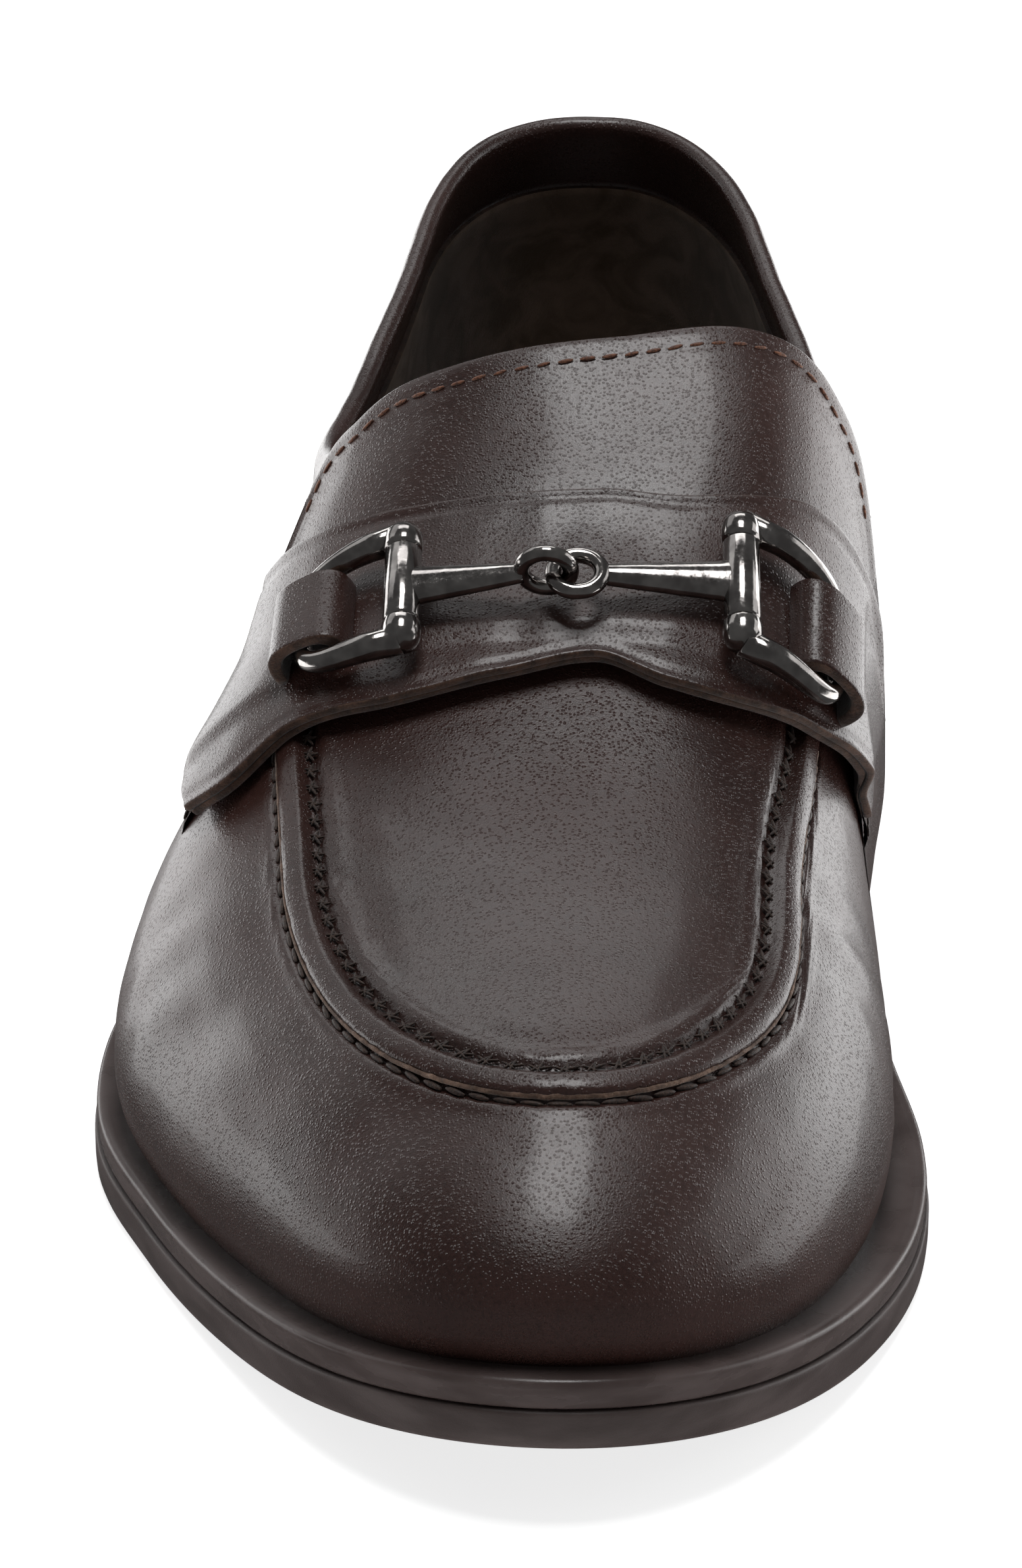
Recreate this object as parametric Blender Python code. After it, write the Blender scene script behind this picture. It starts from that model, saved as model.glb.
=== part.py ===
# Leather bit loafer, right shoe, standing empty on its sole and heel, toe towards minus Y.
import math

import bmesh
import bpy
import numpy as np
from mathutils import Vector

# Sizes of the whole shoe, metres
LENGTH = 0.300
BALL_WIDTH = 0.1124
HEEL_HEIGHT = 0.0190
TOE_SPRING = 0.0105
INSTEP_HEIGHT = 0.1010
COLLAR_HEIGHT = 0.0840

# Sole pieces, metres
OUTSOLE_THICK = 0.0055
WELT_THICK = 0.0042
WELT_STEP = 0.0004
EDGE_ROUND = 0.0012
HEEL_LENGTH = 0.0700
HEEL_TAPER = 0.0015
INSOLE_THICK = 0.0030

# Upper, metres
WALL = 0.0019
BULGE_HEIGHT = 0.0080
TUCK = 0.0020
TOE_MARGIN = 0.0030
HEEL_MARGIN = 0.0020
SEAM_WIDTH = 0.0045
SEAM_RAISE = 0.0009
COLLAR_ROLL = 0.0055
COLLAR_RAISE = 0.0007

# Overlays, metres
GAP = 0.0003
FACET_PLAY = 0.0002
TONGUE_THICK = 0.0018
STRAP_FRONT_THICK = 0.0026
STRAP_REAR_THICK = 0.0014
STRAP_END_THICK = 0.0016
STRAP_END_LATERAL = 0.0460
STRAP_END_MEDIAL = 0.0400
KEEPER_WIDTH = 0.0130
KEEPER_SPAN = 0.0102
KEEPER_INSET = 0.0006
KEEPER_THICK = 0.0016

# Bit, metres
PIN_RADIUS = 0.0012
SLEEVE_RADIUS = 0.0025
SLEEVE_LENGTH = 0.0135
CAP_RADIUS = 0.0026
CAP_LENGTH = 0.0044
BOW_RADIUS = 0.0015
BOW_ROOT = 0.0021
BOW_REACH = 0.0130
BOW_HALF = 0.0091
EYE_RADIUS = 0.0033
EYE_WIRE = 0.0010
SHANK_ROOT_WIDE = 0.0036
SHANK_TIP_WIDE = 0.0019
SHANK_ROOT = 0.0019
SHANK_TIP = 0.0012
BORE_PLAY = 0.0004

# Where the shoe changes along its length, as shares of LENGTH from the heel
FLAT_BACK = 0.56
FLAT_FRONT = 0.78
SEAT_FRONT = HEEL_LENGTH / LENGTH + 0.01
TOE_SPLIT = 0.745
HEEL_SPLIT = 0.14
THROAT_SIDE = 0.44
THROAT = 0.53
SHOULDER_BACK = 0.28
SHOULDER_FRONT = 0.66
SHOULDER_EASE = 0.14
BAND_BACK = 0.50
ROLL_FRONT = 0.45
BLEND = 0.035

# Powers of the plan ends and of the cross section
TOE_POWER = 1.98
HEEL_POWER = 2.3
ARCH_ACROSS = 2.75
ARCH_UP = 1.75
SHOULDER = 1.5
BOW_POWER = 5.0
KEEPER_POWER = 0.65

# Where the strap comes down beyond the tongue, in the gauge and along the shoe, and
# the share of its width over which it thins towards the rear
LANDING_PLAY = 0.022
LANDING = 0.05
FORE_LANDING = 0.035
REAR_SHARE = 0.83

# Share of a shank's length at which it is down to the width it keeps up to the eye
SHANK_BEND = 0.8

# One row per section from heel to toe. Widths are shares of BALL_WIDTH, the crown
# is a share of INSTEP_HEIGHT and the top line a share of COLLAR_HEIGHT.
SECTION_COLUMNS = (
    "station", "sole_lateral", "sole_medial", "upper_lateral", "upper_medial", "ridge", "crown", "topline",
)
SECTIONS = (
    (0.00, -0.245, 0.302, -0.227, 0.240, 0.031, 1.069, 1.000),
    (0.12, -0.269, 0.335, -0.240, 0.298, 0.036, 1.045, 0.917),
    (0.22, -0.285, 0.369, -0.269, 0.354, 0.044, 1.030, 0.839),
    (0.30, -0.308, 0.389, -0.302, 0.398, 0.058, 1.010, 0.786),
    (0.38, -0.347, 0.399, -0.343, 0.436, 0.080, 1.000, 0.786),
    (0.44, -0.380, 0.402, -0.362, 0.452, 0.102, 0.970, 0.857),
    (0.49, -0.413, 0.407, -0.379, 0.440, 0.111, 0.929, 0.952),
    (0.56, -0.470, 0.426, -0.416, 0.428, 0.102, 0.782, 0.952),
    (0.65, -0.510, 0.464, -0.474, 0.444, 0.091, 0.649, 0.810),
    (0.72, -0.498, 0.495, -0.473, 0.454, 0.087, 0.569, 0.714),
    (0.80, -0.427, 0.500, -0.407, 0.456, 0.084, 0.515, 0.714),
    (0.88, -0.374, 0.489, -0.345, 0.452, 0.080, 0.505, 0.714),
    (1.00, -0.340, 0.475, -0.311, 0.446, 0.077, 0.490, 0.714),
)

# Apron seam, outer edge: centre and half width as shares of BALL_WIDTH
SEAM_FRONT = 0.911
SEAM_COLUMNS = ("station", "centre", "half")
SEAM = (
    (0.50, 0.030, 0.336),
    (0.65, 0.032, 0.320),
    (0.74, 0.038, 0.299),
    (0.82, 0.059, 0.294),
    (0.92, 0.076, 0.294),
)

# Tongue and strap: front and rear edge stations at shares of their reach down each
# side, from the lateral end at -1 over the ridge at 0 to the medial end at 1.
EDGE_COLUMNS = ("reach", "front", "rear")
TONGUE_END_LATERAL = 0.80
TONGUE_END_MEDIAL = 0.83
TONGUE_EAR = 0.07
EAR_BACK = 0.50
EAR_FRONT = 0.53
TONGUE_FRONT = 0.605
TONGUE = (
    (-1.00, TONGUE_FRONT, 0.512),
    (-0.93, TONGUE_FRONT, 0.484),
    (-0.80, TONGUE_FRONT, 0.482),
    (-0.50, TONGUE_FRONT, 0.490),
    (0.00, TONGUE_FRONT, 0.486),
    (0.50, TONGUE_FRONT, 0.474),
    (0.80, TONGUE_FRONT, 0.466),
    (0.93, TONGUE_FRONT, 0.470),
    (1.00, TONGUE_FRONT, 0.492),
)
STRAP = (
    (-1.00, 0.669, 0.500),
    (-0.93, 0.674, 0.508),
    (-0.75, 0.661, 0.535),
    (-0.50, 0.663, 0.553),
    (-0.22, 0.654, 0.557),
    (0.00, 0.645, 0.556),
    (0.26, 0.656, 0.558),
    (0.46, 0.657, 0.553),
    (0.69, 0.646, 0.538),
    (0.90, 0.625, 0.516),
    (1.00, 0.608, 0.500),
)

# Bit: where each barrel stands, as shares of BALL_WIDTH across and of LENGTH along
BIT_LATERAL = (-0.123, 0.614)
BIT_MEDIAL = (0.240, 0.607)
BIT_CENTRE = (0.051, 0.616)

# Mesh steps
STATION_STEPS = 30
UPPER_SIDE_STEPS = 25
TUCK_STEPS = 3
SIDE_STEPS = 7
BAND_STEPS = 4
VAMP_STEPS = 10
SIDE_SHARE = 0.4
PATH_STEPS = 80
BOW_STEPS = 23


def column(table, columns, name, station):
    """Read one column of a table at any station, smoothly between its rows."""
    rows = np.array(table, float)
    x = rows[:, 0]
    value = rows[:, columns.index(name)]
    step = np.diff(x)
    slope = np.diff(value) / step
    tangent = np.empty_like(value)
    tangent[1:-1] = (slope[:-1] * step[1:] + slope[1:] * step[:-1]) / (step[:-1] + step[1:])
    tangent[0] = slope[0]
    tangent[-1] = slope[-1]
    station = np.asarray(station, float)
    row = np.clip(np.searchsorted(x, station, side="right") - 1, 0, len(step) - 1)
    t = np.clip((station - x[row]) / step[row], 0, 1)
    start = value[row] * (1 + 2 * t) * (1 - t) ** 2 + tangent[row] * step[row] * t * (1 - t) ** 2
    end = value[row + 1] * t * t * (3 - 2 * t) - tangent[row + 1] * step[row] * t * t * (1 - t)
    return start + end


def section(name, station):
    """Read a column of the section table in metres."""
    scale = {"crown": INSTEP_HEIGHT, "topline": COLLAR_HEIGHT}.get(name, BALL_WIDTH)
    return column(SECTIONS, SECTION_COLUMNS, name, station) * scale


def smooth(value):
    """Ease from 0 to 1."""
    t = np.clip(value, 0, 1)
    return t * t * (3 - 2 * t)


def y_at(station):
    return LENGTH * (0.5 - station)


def station_at(y):
    return 0.5 - y / LENGTH


def underside(station):
    """Height of the outsole's underside: heel seat, waist, forefoot flat and toe spring."""
    toe = np.clip((station - FLAT_FRONT) / (1 - FLAT_FRONT), 0, None) ** 2 * TOE_SPRING
    return toe + HEEL_HEIGHT * smooth((FLAT_BACK - station) / (FLAT_BACK - SEAT_FRONT))


def welt_top(station):
    return underside(station) + OUTSOLE_THICK + WELT_THICK


def widest(station):
    """Height at which the upper is widest."""
    return welt_top(station) + BULGE_HEIGHT


def end_share(station, toe_margin, heel_margin):
    """0 along the sides, rising to 1 at the toe tip and the heel back."""
    toe = (station - TOE_SPLIT) / (1 - TOE_SPLIT - toe_margin / LENGTH)
    heel = (HEEL_SPLIT - station) / (HEEL_SPLIT - heel_margin / LENGTH)
    return np.clip(np.maximum(toe, heel), 0, 1)


def end_power(station):
    return np.where(np.asarray(station) > 0.5, TOE_POWER, HEEL_POWER)


def stations(toe_margin, heel_margin, count, front=None):
    """Stations from the heel back to the toe tip, or to a cut, closer where the plan turns."""
    t = np.linspace(0, math.pi / 2, 12)
    heel = HEEL_SPLIT - (HEEL_SPLIT - heel_margin / LENGTH) * np.cos(t) ** (2 / HEEL_POWER)
    toe = TOE_SPLIT + (1 - TOE_SPLIT - toe_margin / LENGTH) * np.sin(t) ** (2 / TOE_POWER)
    middle = np.linspace(HEEL_SPLIT, TOE_SPLIT, 3 * len(t))
    dense = np.concatenate([heel, middle[1:-1], toe])
    if front is not None:
        dense = np.append(dense[dense < front], front)
    x, y = edge_point(-1, dense, "sole", toe_margin, heel_margin)
    length = np.append(0, np.cumsum(np.hypot(np.diff(x), np.diff(y))))
    at = np.interp(np.linspace(0, length[-1], count), length, dense)
    for mark in (SEAT_FRONT, FLAT_BACK, FLAT_FRONT):
        if mark < dense[-1]:
            at[np.argmin(np.abs(at - mark))] = mark
    return at


def edge_point(side, station, piece, toe_margin, heel_margin):
    """Plan point of the sole's edge, or of the upper's widest line, on one side."""
    ridge = section("ridge", station)
    name = piece + ("_lateral" if side < 0 else "_medial")
    share = end_share(station, toe_margin, heel_margin)
    power = end_power(station)
    close = np.clip(1 - share ** power, 0, None) ** (1 / power)
    return ridge + (section(name, station) - ridge) * close, y_at(station)


def gauge(x, y):
    """0 on the ridge, 1 on the upper's widest line, at any plan point."""
    station = station_at(y)
    ridge = section("ridge", station)
    lateral = ridge - section("upper_lateral", station)
    medial = section("upper_medial", station) - ridge
    across = np.abs(x - ridge) / np.where(x < ridge, lateral, medial)
    along = end_share(station, TOE_MARGIN, HEEL_MARGIN)
    power = end_power(station)
    return (across ** power + along ** power) ** (1 / power)


def arch_across(medial, station):
    """Power of the cross section, squarer at the medial shoulder of the instep."""
    back = smooth((station - SHOULDER_BACK) / SHOULDER_EASE)
    front = smooth((SHOULDER_FRONT - station) / SHOULDER_EASE)
    return ARCH_ACROSS + SHOULDER * back * front * medial


def height(x, y):
    """Height of the upper's outer form over a plan point."""
    station = station_at(y)
    low = widest(station)
    power = arch_across(x > section("ridge", station), station)
    rise = np.clip(1 - gauge(x, y) ** power, 0, None) ** (1 / ARCH_UP)
    return low + (section("crown", station) - low) * rise


def gauge_of_height(side, station, z):
    """The gauge at which one side of the section reaches a height."""
    low = widest(station)
    rise = np.clip((z - low) / (section("crown", station) - low), 0, 1)
    return (1 - rise ** ARCH_UP) ** (1 / arch_across(side > 0, station))


def topline_gauge(side, station):
    """The gauge of the collar's edge, closing across the throat."""
    behind = np.minimum(station, THROAT_SIDE)
    close = np.clip((station - THROAT_SIDE) / (THROAT - THROAT_SIDE), 0, 1)
    return gauge_of_height(side, behind, section("topline", behind)) * np.sqrt(1 - close ** 2)


def side_point(side, station, level):
    """Plan point of one side at a gauge level."""
    ridge = section("ridge", station)
    edge = section("upper_lateral" if side < 0 else "upper_medial", station)
    along = end_share(station, TOE_MARGIN, HEEL_MARGIN)
    power = end_power(station)
    across = np.clip(level ** power - along ** power, 0, None) ** (1 / power)
    return np.stack([ridge + (edge - ridge) * across, y_at(station)], -1)


def normal(x, y):
    """Outward unit normal of the outer form."""
    step = 2e-5
    dx = (height(x + step, y) - height(x - step, y)) / (2 * step)
    dy = (height(x, y + step) - height(x, y - step)) / (2 * step)
    out = np.stack([-dx, -dy, np.ones_like(dx)], -1)
    return out / np.linalg.norm(out, axis=-1, keepdims=True)


def on_form(x, y, offset):
    """A point at a distance out from the outer form."""
    base = np.stack(np.broadcast_arrays(x, y, height(x, y)), -1)
    return base + normal(x, y) * np.asarray(offset)[..., None]


def even(points, count):
    """Points spaced evenly along a line."""
    length = np.append(0, np.cumsum(np.linalg.norm(np.diff(points, axis=0), axis=1)))
    at = np.linspace(0, length[-1], count)
    return np.stack([np.interp(at, length, points[:, k]) for k in range(points.shape[1])], -1)


def add_object(name, points, faces, smooth_faces=True):
    """Make a mesh object, welding points that coincide, with its faces turned outward."""
    mesh = bpy.data.meshes.new(name)
    body = bmesh.new()
    verts = [body.verts.new(point) for point in np.asarray(points, float).tolist()]
    for face in faces:
        body.faces.new([verts[k] for k in face])
    bmesh.ops.remove_doubles(body, verts=body.verts, dist=1e-7)
    bmesh.ops.recalc_face_normals(body, faces=body.faces)
    for face in body.faces:
        face.smooth = smooth_faces
    body.to_mesh(mesh)
    body.free()
    made = bpy.data.objects.new(name, mesh)
    bpy.context.scene.collection.objects.link(made)
    return made


def grid_faces(rows, columns, start=0, wrap=False):
    """Quads between neighbouring points of a grid stored row by row."""
    faces = []
    for i in range(rows - 1):
        for j in range(columns if wrap else columns - 1):
            k = (j + 1) % columns
            faces.append((start + i * columns + j, start + i * columns + k,
                          start + (i + 1) * columns + k, start + (i + 1) * columns + j))
    return faces


def plate(name, piece, margins, rings, front=None):
    """A plate with the sole's plan: rings of (inset, height) from the middle of its underside up.

    Heights are functions of the station, and both caps are strips across the plate.
    """
    at = stations(*margins, STATION_STEPS, front)
    sides = [np.stack(edge_point(side, at, piece, *margins), -1) for side in (-1, 1)]
    loop = np.concatenate([sides[0], sides[1][::-1]])
    around = np.concatenate([at, at[::-1]])
    before = np.roll(loop, 1, axis=0)
    after = np.roll(loop, -1, axis=0)
    before[0] = loop[-2]
    after[-1] = loop[1]
    tip = len(at)
    after[tip - 1] = loop[tip + 1] if front is None else loop[tip - 1]
    before[tip] = loop[tip - 2] if front is None else loop[tip]
    out = after - before
    out = np.stack([out[:, 1], -out[:, 0]], -1)
    out /= np.linalg.norm(out, axis=1, keepdims=True)
    out *= np.sign(((loop - loop.mean(0)) * out).sum(1))[:, None]
    points = []
    for inset, level in rings:
        plan = loop - out * inset
        if front is not None:
            plan[:, 1] = np.maximum(plan[:, 1], y_at(front) + inset)
        points.append(np.column_stack([plan, level(around)]))
    count = len(loop)
    faces = grid_faces(len(rings), count, wrap=True)
    for ring in (0, len(rings) - 1):
        for k in range(len(at) - 1):
            mate = count - 1 - k
            faces.append(tuple(ring * count + i for i in (k, k + 1, mate - 1, mate)))
    return add_object(name, np.concatenate(points), faces, False)


def shell(name, outer, inner, wrap=False):
    """A closed sheet between two matching grids; wrap joins its last column to its first."""
    rows, columns = outer.shape[:2]
    count = rows * columns
    faces = grid_faces(rows, columns, 0, wrap) + grid_faces(rows, columns, count, wrap)
    rims = [[i * columns + j for j in range(columns)] for i in (0, rows - 1)]
    for rim in rims:
        for j in range(columns if wrap else columns - 1):
            a, b = rim[j], rim[(j + 1) % columns]
            faces.append((a, b, b + count, a + count))
    if not wrap:
        for j in (0, columns - 1):
            for i in range(rows - 1):
                a, b = i * columns + j, (i + 1) * columns + j
                faces.append((a, b, b + count, a + count))
    points = np.concatenate([outer.reshape(-1, 3), inner.reshape(-1, 3)])
    return add_object(name, points, faces)


def tube(path, radii, sides, closed=False, up=Vector((0, 0, 1))):
    """Grid of rings round a path, flattened by a pair of radii per point."""
    path = np.asarray(path, float)
    if closed:
        tangent = np.roll(path, -1, axis=0) - np.roll(path, 1, axis=0)
    else:
        tangent = np.gradient(path, axis=0)
    tangent /= np.linalg.norm(tangent, axis=1, keepdims=True)
    flat = np.cross(tangent, np.asarray(up, float))
    flat /= np.linalg.norm(flat, axis=1, keepdims=True)
    high = np.cross(flat, tangent)
    turn = np.linspace(0, 2 * math.pi, sides, endpoint=False)
    radii = np.broadcast_to(np.asarray(radii, float), (len(path), 2))
    ring = (flat[:, None] * (radii[:, :1] * np.cos(turn))[..., None]
            + high[:, None] * (radii[:, 1:] * np.sin(turn))[..., None])
    return path[:, None] + ring


def tube_faces(rows, sides, closed=False):
    """Side quads of a tube, with end caps unless it closes on itself."""
    faces = grid_faces(rows, sides, wrap=True)
    if closed:
        last = (rows - 1) * sides
        for j in range(sides):
            k = (j + 1) % sides
            faces.append((last + j, last + k, k, j))
        return faces
    faces.append(tuple(range(sides)))
    faces.append(tuple(range((rows - 1) * sides, rows * sides)))
    return faces


def seam_gauge(x, y):
    """1 on the apron seam's outer edge."""
    station = station_at(y)
    centre = column(SEAM, SEAM_COLUMNS, "centre", station) * BALL_WIDTH
    half = column(SEAM, SEAM_COLUMNS, "half", station) * BALL_WIDTH
    along = np.clip((station - TOE_SPLIT) / (SEAM_FRONT - TOE_SPLIT), 0, None)
    return np.sqrt(((x - centre) / half) ** 2 + along ** 2)


def upper_lines():
    """Matching points of the widest line and the collar edge, with the band's place and rise."""
    low, top = [], []
    for side in (-1, 1):
        t = np.linspace(0, math.pi / 2, 60)
        heel = HEEL_SPLIT - (HEEL_SPLIT - HEEL_MARGIN / LENGTH) * np.cos(t) ** (2 / HEEL_POWER)
        toe = TOE_SPLIT + (1 - TOE_SPLIT - TOE_MARGIN / LENGTH) * np.sin(t) ** (2 / TOE_POWER)
        at = np.concatenate([heel, np.linspace(HEEL_SPLIT, TOE_SPLIT, 240)[1:-1], toe])
        widest_line = side_point(side, at, np.ones_like(at))
        back = np.linspace(HEEL_MARGIN / LENGTH, HEEL_SPLIT, 400)
        free = back[end_share(back, TOE_MARGIN, HEEL_MARGIN) <= topline_gauge(side, back)]
        close = THROAT_SIDE + (THROAT - THROAT_SIDE) * np.sin(t)
        rim = np.concatenate([free, np.linspace(HEEL_SPLIT, THROAT_SIDE, 200)[1:-1], close])
        collar = side_point(side, rim, topline_gauge(side, rim))
        low.append(even(widest_line, UPPER_SIDE_STEPS + 1))
        reach = np.linspace(0, 1, UPPER_SIDE_STEPS + 1)
        dense = even(collar, 600)
        warp = np.interp(reach, [0, 0.5, 1], [0, 0.72, 1])
        top.append(dense[np.rint(warp * 599).astype(int)])
    joined = [np.concatenate([line[0][:-1], line[1][::-1][:-1]]) for line in (low, top)]
    return joined[0], joined[1]


def upper_grids():
    """Outer and inner grids of the upper: rows from the feather edge to the collar."""
    low, top = upper_lines()
    warp = 1 - np.cos(np.linspace(0, math.pi / 2, PATH_STEPS))
    columns = []
    for start, end in zip(low, top):
        plan = start + (end - start) * warp[:, None]
        line = np.column_stack([plan, height(plan[:, 0], plan[:, 1])])
        length = np.append(0, np.cumsum(np.linalg.norm(np.diff(line, axis=0), axis=1)))
        station = float(station_at(start[1]))
        fore = float(smooth((station - BAND_BACK) / (TONGUE_FRONT - BAND_BACK)))
        collar = (SIDE_SHARE * length[-1], (SIDE_SHARE + 0.1) * length[-1])
        inside = np.nonzero(seam_gauge(plan[:, 0], plan[:, 1]) < 1)[0]
        first = length[inside[0]] if len(inside) else collar[0]
        seam = (first, first + SEAM_WIDTH)
        band = [collar[k] + (seam[k] - collar[k]) * fore for k in (0, 1)]
        at = np.concatenate([
            np.linspace(0, band[0], SIDE_STEPS + 1),
            np.linspace(band[0], band[1], BAND_STEPS + 1)[1:],
            np.linspace(band[1], length[-1], VAMP_STEPS + 1)[1:],
        ])
        share = np.interp(at, length, warp)
        plan = start + (end - start) * share[:, None]
        columns.append((plan, station, length[-1] - at))
    plans = np.stack([item[0] for item in columns], 1)
    surface = on_form(plans[..., 0], plans[..., 1], np.zeros(plans.shape[:2]))
    around = np.array([item[1] for item in columns])
    tuck = []
    turn = np.radians(60)
    for step in range(TUCK_STEPS):
        angle = turn * (1 - step / TUCK_STEPS)
        inset = TUCK * (1 - math.cos(angle)) / (1 - math.cos(turn))
        drop = (BULGE_HEIGHT - GAP) * math.sin(angle) / math.sin(turn)
        tuck.append((inset, drop))
    base = surface[0].copy()
    ahead = np.roll(base, -1, axis=0) - np.roll(base, 1, axis=0)
    out = np.stack([-ahead[:, 1], ahead[:, 0], np.zeros(len(base))], -1)
    out /= np.linalg.norm(out, axis=1, keepdims=True)
    out *= np.sign(((base - base.mean(0)) * out).sum(1))[:, None]
    lower = [base - out * inset - np.array([0, 0, drop]) for inset, drop in tuck]
    outer = np.concatenate([np.stack(lower), surface])
    du = np.roll(outer, -1, axis=1) - np.roll(outer, 1, axis=1)
    dv = np.gradient(outer, axis=0)
    face = np.cross(du, dv)
    face /= np.linalg.norm(face, axis=-1, keepdims=True)
    face *= np.sign((face[TUCK_STEPS] * out).sum())
    inner = outer - face * WALL
    inner[0, :, 2] = outer[0, :, 2]
    band_station = station_at(surface[SIDE_STEPS:SIDE_STEPS + BAND_STEPS + 1, :, 1])
    seam_rise = smooth((band_station - TONGUE_FRONT) / BLEND) * smooth((around - TONGUE_FRONT) / BLEND)
    bump = np.sin(np.linspace(0, math.pi, BAND_STEPS + 1)) * SEAM_RAISE
    first = TUCK_STEPS + SIDE_STEPS
    for k in range(BAND_STEPS + 1):
        outer[first + k] += face[first + k] * (bump[k] * seam_rise[k])[:, None]
    below = np.stack([item[2] for item in columns], 1)
    roll = np.sin(0.75 * math.pi * np.clip(1 - below / COLLAR_ROLL, 0, 1)) * COLLAR_RAISE
    rim = station_at(plans[-1, :, 1])
    roll *= smooth((ROLL_FRONT - rim) / BLEND)
    outer[TUCK_STEPS:] += face[TUCK_STEPS:] * roll[..., None]
    return outer, inner


def patch(name, table, reach_end, offsets, rows, columns):
    """A sheet on the form between two edges; offsets gives its under and outer distances."""
    reach = np.linspace(-1, 1, columns)
    reach = (reach + np.sin(reach * math.pi / 2)) / 2
    front = column(table, EDGE_COLUMNS, "front", reach)
    rear = column(table, EDGE_COLUMNS, "rear", reach)
    share = np.linspace(0, 1, rows)[:, None]
    station = front + (rear - front) * share
    level = np.abs(reach) * reach_end(reach, station)
    lateral = side_point(-1, station, level)
    medial = side_point(1, station, level)
    plan = np.where((reach < 0)[None, :, None], lateral, medial)
    side = np.broadcast_to(np.sign(reach), station.shape)
    under, over = offsets(side, station, level, share)
    x, y = plan[..., 0], plan[..., 1]
    return shell(name, on_form(x, y, over), on_form(x, y, under))


def tongue_end(side, station):
    """How far down each side the tongue reaches; its medial corner shows behind the strap."""
    ear = TONGUE_EAR * smooth((EAR_FRONT - station) / (EAR_FRONT - EAR_BACK))
    return np.where(side < 0, TONGUE_END_LATERAL, TONGUE_END_MEDIAL + ear)


def tongue_offsets(side, station, level, share):
    """The tongue lies on the upper, its underside clear of the facets' edges."""
    over = np.full(level.shape, GAP + TONGUE_THICK)
    return over - TONGUE_THICK + FACET_PLAY, over


def strap_offsets(side, station, level, share):
    """The strap lies on the tongue and steps down to the upper beyond it."""
    down = smooth((tongue_end(side, station) + LANDING_PLAY + LANDING - level) / LANDING)
    ahead = smooth((TONGUE_FRONT + FORE_LANDING - station) / (FORE_LANDING - LANDING_PLAY))
    over_seam = 2 * GAP + SEAM_RAISE * smooth((station - TONGUE_FRONT) / FORE_LANDING)
    on_tongue = TONGUE_THICK + 2 * GAP
    under = over_seam + (on_tongue - over_seam) * down * ahead
    thick = STRAP_FRONT_THICK + (STRAP_REAR_THICK - STRAP_FRONT_THICK) * smooth(share / REAR_SHARE)
    thick = STRAP_END_THICK + (thick - STRAP_END_THICK) * down
    return under, under + thick


def strap_end(side, station):
    """How far down each side the strap reaches."""
    end = np.where(side < 0, STRAP_END_LATERAL, STRAP_END_MEDIAL)
    return gauge_of_height(side, station, end)


def strap_top():
    """Distance of the strap's upper face from the form, near the bit."""
    return TONGUE_THICK + 2 * GAP + STRAP_FRONT_THICK


def across(x0, y, distance):
    """Plan x at a distance measured over the form from x0, at one y."""
    line = np.linspace(x0 - 0.04, x0 + 0.04, 401)
    rise = height(line, np.full_like(line, y))
    length = np.append(0, np.cumsum(np.hypot(np.diff(line), np.diff(rise))))
    length -= np.interp(x0, line, length)
    return float(np.interp(distance, length, line))


def bit_point(origin, side, out, ahead, lift):
    """A point of the bit: out from its barrel, ahead of it and above the form."""
    y = float(y_at(origin[1])) - ahead
    x = across(origin[0] * BALL_WIDTH, y, side * out)
    return on_form(np.array(x), np.array(y), np.array(lift))


def keeper(name, side, origin):
    """A leather loop standing on the strap over the bow."""
    top = BOW_RADIUS * 2 + 3 * GAP + KEEPER_THICK
    seat = strap_top() + GAP
    turn = np.linspace(0, math.pi, 15)
    centre = BOW_REACH - KEEPER_INSET
    half = KEEPER_SPAN / 2
    grids = []
    for grow in (0, KEEPER_THICK):
        wide = half - grow
        tall = top - grow
        rows = []
        for ahead in np.linspace(-0.5, 0.5, 4) * KEEPER_WIDTH:
            row = []
            for angle in turn:
                out = centre - wide * math.copysign(abs(math.cos(angle)) ** KEEPER_POWER, math.cos(angle))
                lift = seat + tall * abs(math.sin(angle)) ** KEEPER_POWER
                row.append(bit_point(origin, side, out, ahead, lift))
            rows.append(row)
        grids.append(np.array(rows))
    return shell(name, grids[0], grids[1])


def bit_lift():
    return strap_top() + 2 * GAP + CAP_RADIUS


def barrel(side, origin):
    """Middle and forward direction of the straight pin under a sleeve."""
    rear, front = (bit_point(origin, side, 0, sign * BOW_HALF, bit_lift()) for sign in (-1, 1))
    return (rear + front) / 2, (front - rear) / np.linalg.norm(front - rear)


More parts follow.
